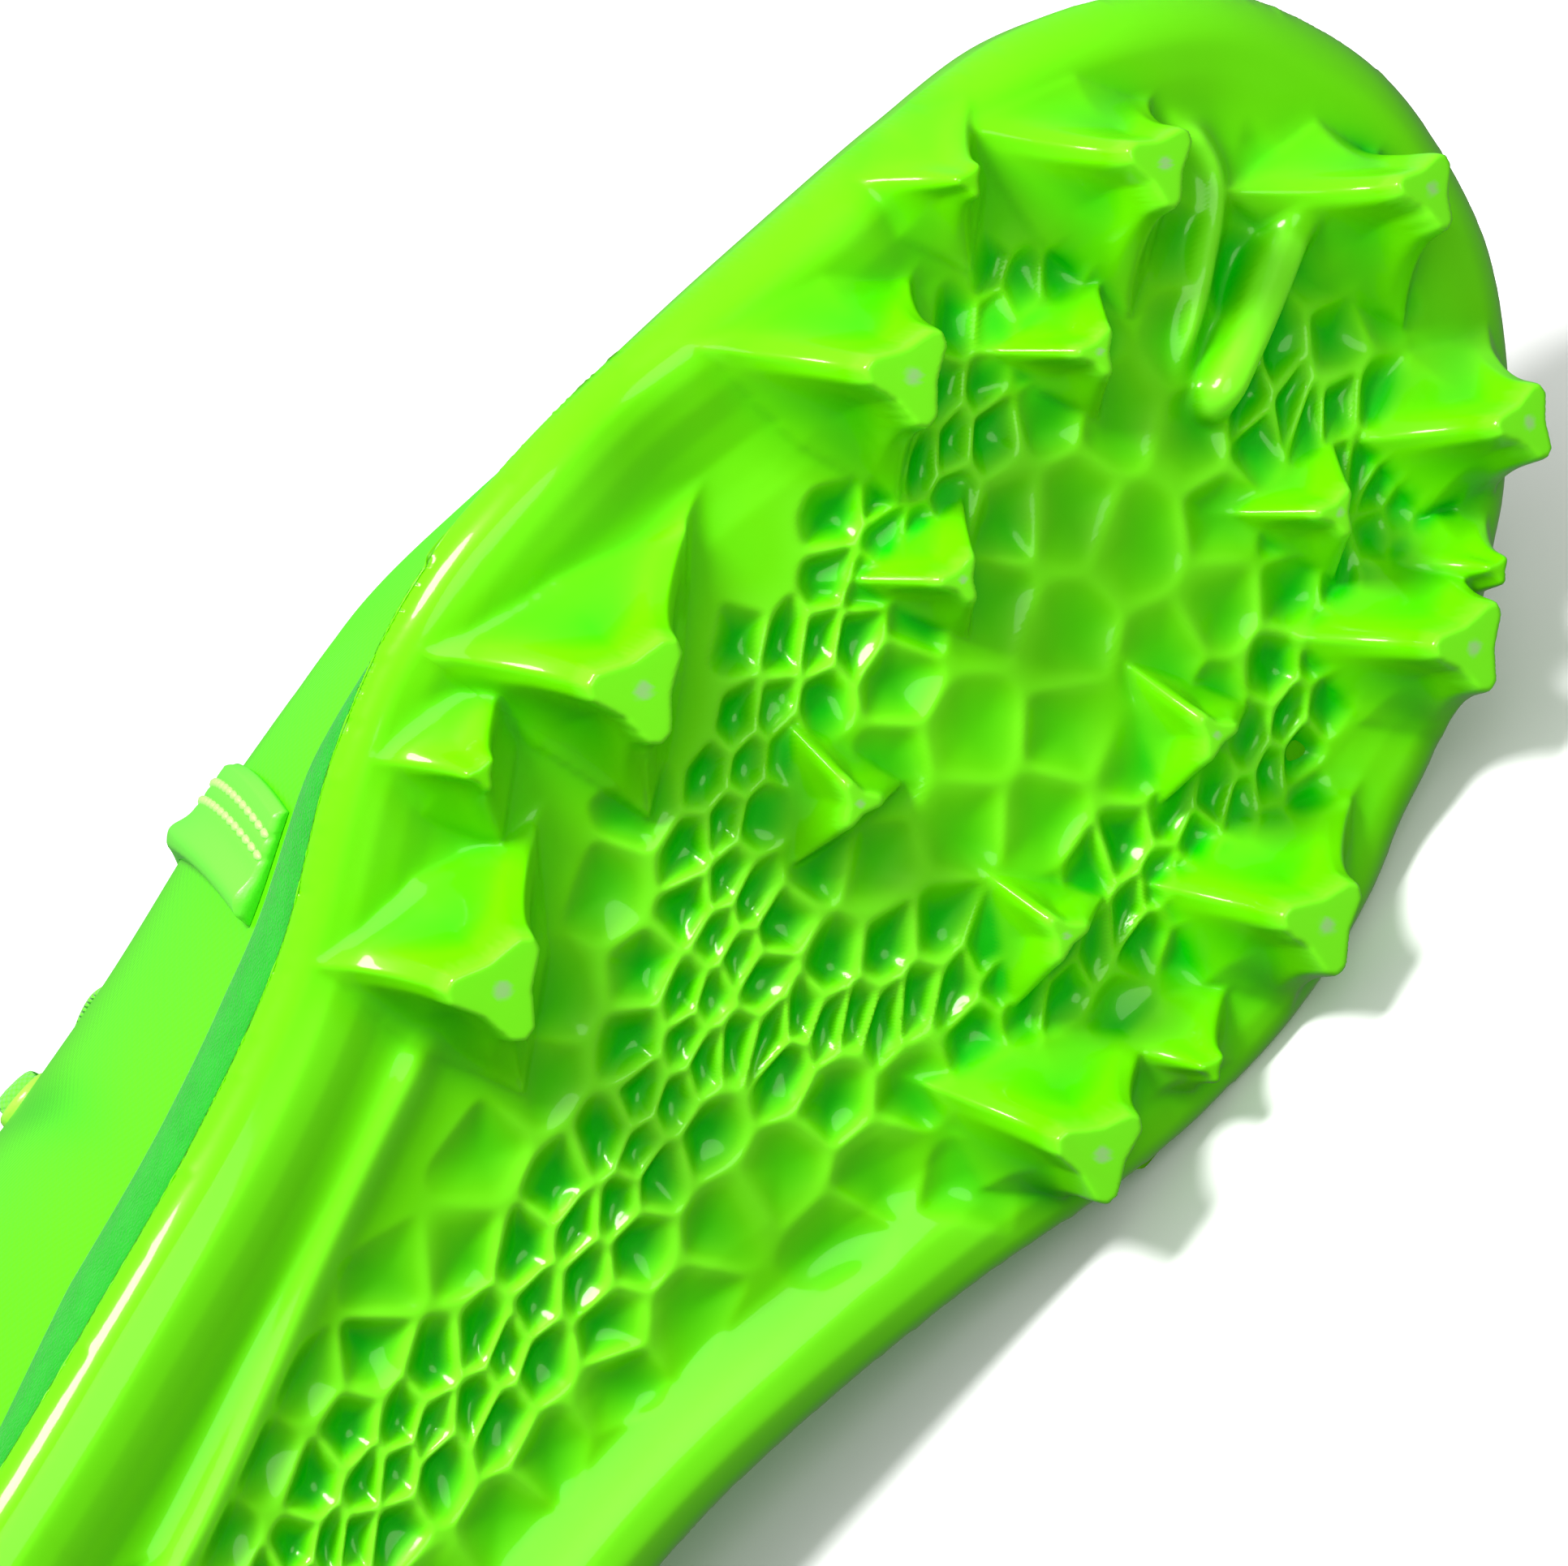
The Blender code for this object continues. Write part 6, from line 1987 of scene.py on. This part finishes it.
def make_counter(sizes):
    """The overlay round the heel, with a piped edge and a row of stitches inside it."""
    ends = table_column(COUNTER_EDGE, BAND_COLUMNS, "up")
    ups = np.linspace(ends[0] + COUNTER_TRIM, ends[-1] - COUNTER_TRIM, 60)
    edge = read_table(COUNTER_EDGE, BAND_COLUMNS, "round", ups)
    places = edge[:, None] * np.linspace(0, 1, 110)[None] ** 0.9
    heights = np.broadcast_to(ups[:, None], places.shape)
    grids = []
    for lift in (OVERLAY_GAP + 1.0, 0.15):
        lifts = np.full(places.shape, lift)
        outer = upper_point(OUTER, places, heights, lifts)
        inner = upper_point(INNER, places, heights, lifts)
        grids.append(np.concatenate([outer[:, ::-1], inner[:, 1:]], axis=1))
    points, faces = soft_slab(*grids, 0.8)
    leather = coated_leather("counter_leather", sizes.upper_colour, 0.28, 0.6)
    threads, piping = [], []
    for side in (OUTER, INNER):
        path, out = surface_path(side, *border_line(edge, ups, 0.0), OVERLAY_GAP + 0.75)
        piping.append(ribbon(path, out, PIPING, PIPING)[:2])
        path, out = surface_path(side, *border_line(edge, ups, 3.0), OVERLAY_GAP + 1.05)
        threads.append(stitches(path, out, 2.2, 1.8, 0.8))
    trim = coated_leather("piping_leather", sizes.trim_colour, 0.4, 0.3)
    thread = twisted_thread(sizes.thread_colour)
    for piece in (
        build_piece("counter_shell", points, faces, leather),
        build_piece("counter_piping", *joined(*piping), trim),
        build_piece("counter_stitches", *joined(*threads), thread),
    ):
        settle(piece, "heel_counter", "heel_counter")


def plain_paper():
    """Matt studio paper: rough and without shine."""
    material, tree, shader = new_material("matt_paper")
    values = {"Base Color": linear(PAPER_COLOUR), "Roughness": 0.95, "Specular IOR Level": 0.1}
    set_shader(tree, shader, values)
    return material


def make_floor():
    """A large sheet of pale paper under the shoe."""
    corners = [(x * FLOOR_REACH, y * FLOOR_REACH, 0) for x, y in ((-1, -1), (1, -1), (1, 1), (-1, 1))]
    mesh = bpy.data.meshes.new("floor")
    mesh.from_pydata(corners, [], [(0, 1, 2, 3)])
    mesh.materials.append(plain_paper())
    floor = bpy.data.objects.new("floor", mesh)
    bpy.context.scene.collection.objects.link(floor)
    floor.visible_diffuse = False
    floor.visible_glossy = False


def make_sky():
    """Soft light from all sides, brighter from above."""
    world = bpy.data.worlds.new("studio")
    world.use_nodes = True
    tree = world.node_tree
    up = add_node(tree, "SeparateXYZ", {"Vector": add_node(tree, "TexCoord").outputs["Generated"]})
    low, high = SKY_HEIGHTS
    dim, bright = SKY_STRENGTHS
    span = {"From Min": low, "From Max": high, "To Min": dim, "To Max": bright}
    strength = add_node(tree, "MapRange", {"Value": up.outputs["Z"], **span})
    values = {"Color": (1, 1, 1, 1), "Strength": strength.outputs["Result"]}
    set_shader(tree, tree.nodes["Background"], values)
    bpy.context.scene.world = world


def view_axes():
    """The picture's right and up and the way to the camera, in the shoe's own axes."""
    toward = unit(np.array([tan(VIEW_ASIDE), -tan(VIEW_BEHIND), -1.0]))
    level = unit(np.array([0, 1.0, 0]) - toward[1] * toward)
    right = level * cos(VIEW_ROLL) + np.cross(toward, level) * sin(VIEW_ROLL)
    return right, np.cross(toward, right), toward


def make_camera(axes):
    """The camera at the photograph's angle, with a lens that gives the photograph's scale."""
    data = bpy.data.cameras.new("camera")
    data.sensor_width = FILM_WIDTH
    data.lens = FILM_WIDTH * PHOTO_SCALE * VIEW_DISTANCE / PHOTO_WIDTH
    camera = bpy.data.objects.new("camera", data)
    turned = np.stack([TURN @ axis for axis in axes], axis=1)
    place = to_world(np.array(VIEW_TARGET) + axes[2] * VIEW_DISTANCE)
    camera.matrix_world = Matrix([[*turned[k], place[k]] for k in range(3)] + [[0, 0, 0, 1]])
    bpy.context.scene.collection.objects.link(camera)
    bpy.context.scene.camera = camera


def make_softbox(name, axes, way, size, power):
    """A round softbox in a direction of the picture, aimed at the shoe."""
    data = bpy.data.lights.new(name, "AREA")
    data.shape = "DISK"
    data.size = size
    data.energy = power
    light = bpy.data.objects.new(name, data)
    direction = unit(TURN @ sum(axis * part for axis, part in zip(axes, way)))
    direction[2] = max(direction[2], LIGHT_LOWEST)
    where = Vector(to_world(LIGHT_TARGET) + direction * LIGHT_DISTANCE * MM)
    aim = Vector(direction).to_track_quat("Z", "Y").to_matrix().to_4x4()
    light.matrix_world = Matrix.Translation(where) @ aim
    bpy.context.scene.collection.objects.link(light)


def make_stage():
    """A pale floor, soft studio light and the camera at the photograph's angle."""
    make_floor()
    make_sky()
    axes = view_axes()
    make_camera(axes)
    for name, way, size, power in SOFTBOXES:
        make_softbox(name, axes, way, size, power)
    bpy.context.scene.view_settings.view_transform = "Standard"


def size_property(name, description, default):
    """A size, or a share of one, that a user may change to between half and twice."""
    low, high = default / 2, default * 2
    return FloatProperty(name=name, description=description, default=default, min=low, max=high)


def colour_property(name, description, hex_colour):
    """A colour that a user may change."""
    default = linear(hex_colour)
    return FloatVectorProperty(name=name, description=description, subtype="COLOR", size=4, default=default)


class CleatSizes(PropertyGroup):
    """Sizes and colours of the cleat's finish."""

    cell_scale: size_property("Cell Scale", "Size of the sole's cells over that of the table", 1.0)
    crest_width: size_property("Crest Width", "Width of the crests between cells, in millimetres", 0.16)
    bowl_depth: size_property("Bowl Depth", "Depth of the cells over that of the table", 1.0)
    moulding_radius: size_property("Moulding Radius", "Roundness of moulded edges, in millimetres", 0.2)
    lace_width: size_property("Lace Width", "Width of the flat lace, in millimetres", 5.2)
    plate_colour: colour_property("Plate", "Colour of the moulded sole", "#64D400")
    # Painted shade: the darker green laid in the sole's cells and hollows and in the troughs of the upper's
    # creases
    painted_shade_colour: colour_property("Hollows", "Colour in the sole's cells", "#00B400")
    # Painted highlight: the lighter green laid on the sole's crests
    painted_highlight_colour: colour_property("Crests", "Colour of the thin crests", "#7AEC24")
    tip_colour: colour_property("Stud Tips", "Colour of the studs' tips", "#72E41C")
    upper_colour: colour_property("Upper", "Colour of the filmed upper", "#54D40A")
    knit_colour: colour_property("Bare Knit", "Colour of bare knit", "#50D020")
    lining_colour: colour_property("Lining", "Colour of the lining", "#3FC23A")
    rand_colour: colour_property("Rand", "Colour of the soft rand", "#0C9414")
    band_colour: colour_property("Bands", "Colour of the bands", "#66E034")
    trim_colour: colour_property("Trim", "Colour of piping and eyelets", "#98E43C")
    thread_colour: colour_property("Thread", "Colour of the stitches", "#A4EE70")
    lace_colour: colour_property("Lace", "Colour of the lace", "#6CE038")


class CLEAT_OT_outsole(Operator):
    """Moulds the outsole with its studs, cells, ribs and rim"""

    bl_idname = "cleat.outsole"
    bl_label = "Outsole"

    def execute(self, context):
        make_sole(context.scene.cleat_sizes)
        return {"FINISHED"}


class CLEAT_OT_upper(Operator):
    """Makes the upper's filmed skin, its lining and its eyelets"""

    bl_idname = "cleat.upper"
    bl_label = "Upper"

    def execute(self, context):
        make_upper(context.scene.cleat_sizes)
        return {"FINISHED"}


class CLEAT_OT_underfoot(Operator):
    """Makes the board with its rand, and the sock liner"""

    bl_idname = "cleat.underfoot"
    bl_label = "Board and Sock Liner"

    def execute(self, context):
        make_midsole(context.scene.cleat_sizes)
        make_insole(context.scene.cleat_sizes)
        return {"FINISHED"}


class CLEAT_OT_tongue(Operator):
    """Makes the padded tongue"""

    bl_idname = "cleat.tongue"
    bl_label = "Tongue"

    def execute(self, context):
        make_tongue(context.scene.cleat_sizes)
        return {"FINISHED"}


class CLEAT_OT_lace(Operator):
    """Threads the flat lace through the eyelets"""

    bl_idname = "cleat.lace"
    bl_label = "Lace"

    def execute(self, context):
        make_lace(context.scene.cleat_sizes)
        return {"FINISHED"}


class CLEAT_OT_overlays(Operator):
    """Makes the padded bands and the heel counter with their stitches"""

    bl_idname = "cleat.overlays"
    bl_label = "Overlays"

    def execute(self, context):
        sizes = context.scene.cleat_sizes
        make_band("band_lateral", OUTER, OUTER_BAND, sizes)
        make_band("band_medial", INNER, INNER_BAND, sizes)
        make_counter(sizes)
        return {"FINISHED"}


class CLEAT_OT_stage(Operator):
    """Sets the floor, the light and the camera"""

    bl_idname = "cleat.stage"
    bl_label = "Stage"

    def execute(self, context):
        make_stage()
        return {"FINISHED"}


class CLEAT_PT_panel(Panel):
    """Lists the pieces of the cleat"""

    bl_idname = "CLEAT_PT_panel"
    bl_label = "Football Cleat"
    bl_space_type = "VIEW_3D"
    bl_region_type = "UI"
    bl_category = "Cleat"

    def draw(self, context):
        for operator in OPERATORS:
            self.layout.operator(operator.bl_idname)


OPERATORS = (
    CLEAT_OT_outsole,
    CLEAT_OT_underfoot,
    CLEAT_OT_upper,
    CLEAT_OT_tongue,
    CLEAT_OT_lace,
    CLEAT_OT_overlays,
    CLEAT_OT_stage,
)
CLASSES = (CleatSizes, *OPERATORS, CLEAT_PT_panel)


def register():
    """Registers the classes and puts the sizes on the scene."""
    for cls in CLASSES:
        bpy.utils.register_class(cls)
    bpy.types.Scene.cleat_sizes = PointerProperty(type=CleatSizes)


def unregister():
    """Takes the sizes and the classes away again."""
    del bpy.types.Scene.cleat_sizes
    for cls in reversed(CLASSES):
        bpy.utils.unregister_class(cls)


def main():
    """Registers the classes and builds every piece in turn."""
    register()
    for operator in OPERATORS:
        group, name = operator.bl_idname.split(".")
        getattr(getattr(bpy.ops, group), name)()


if __name__ == "__main__":
    main()
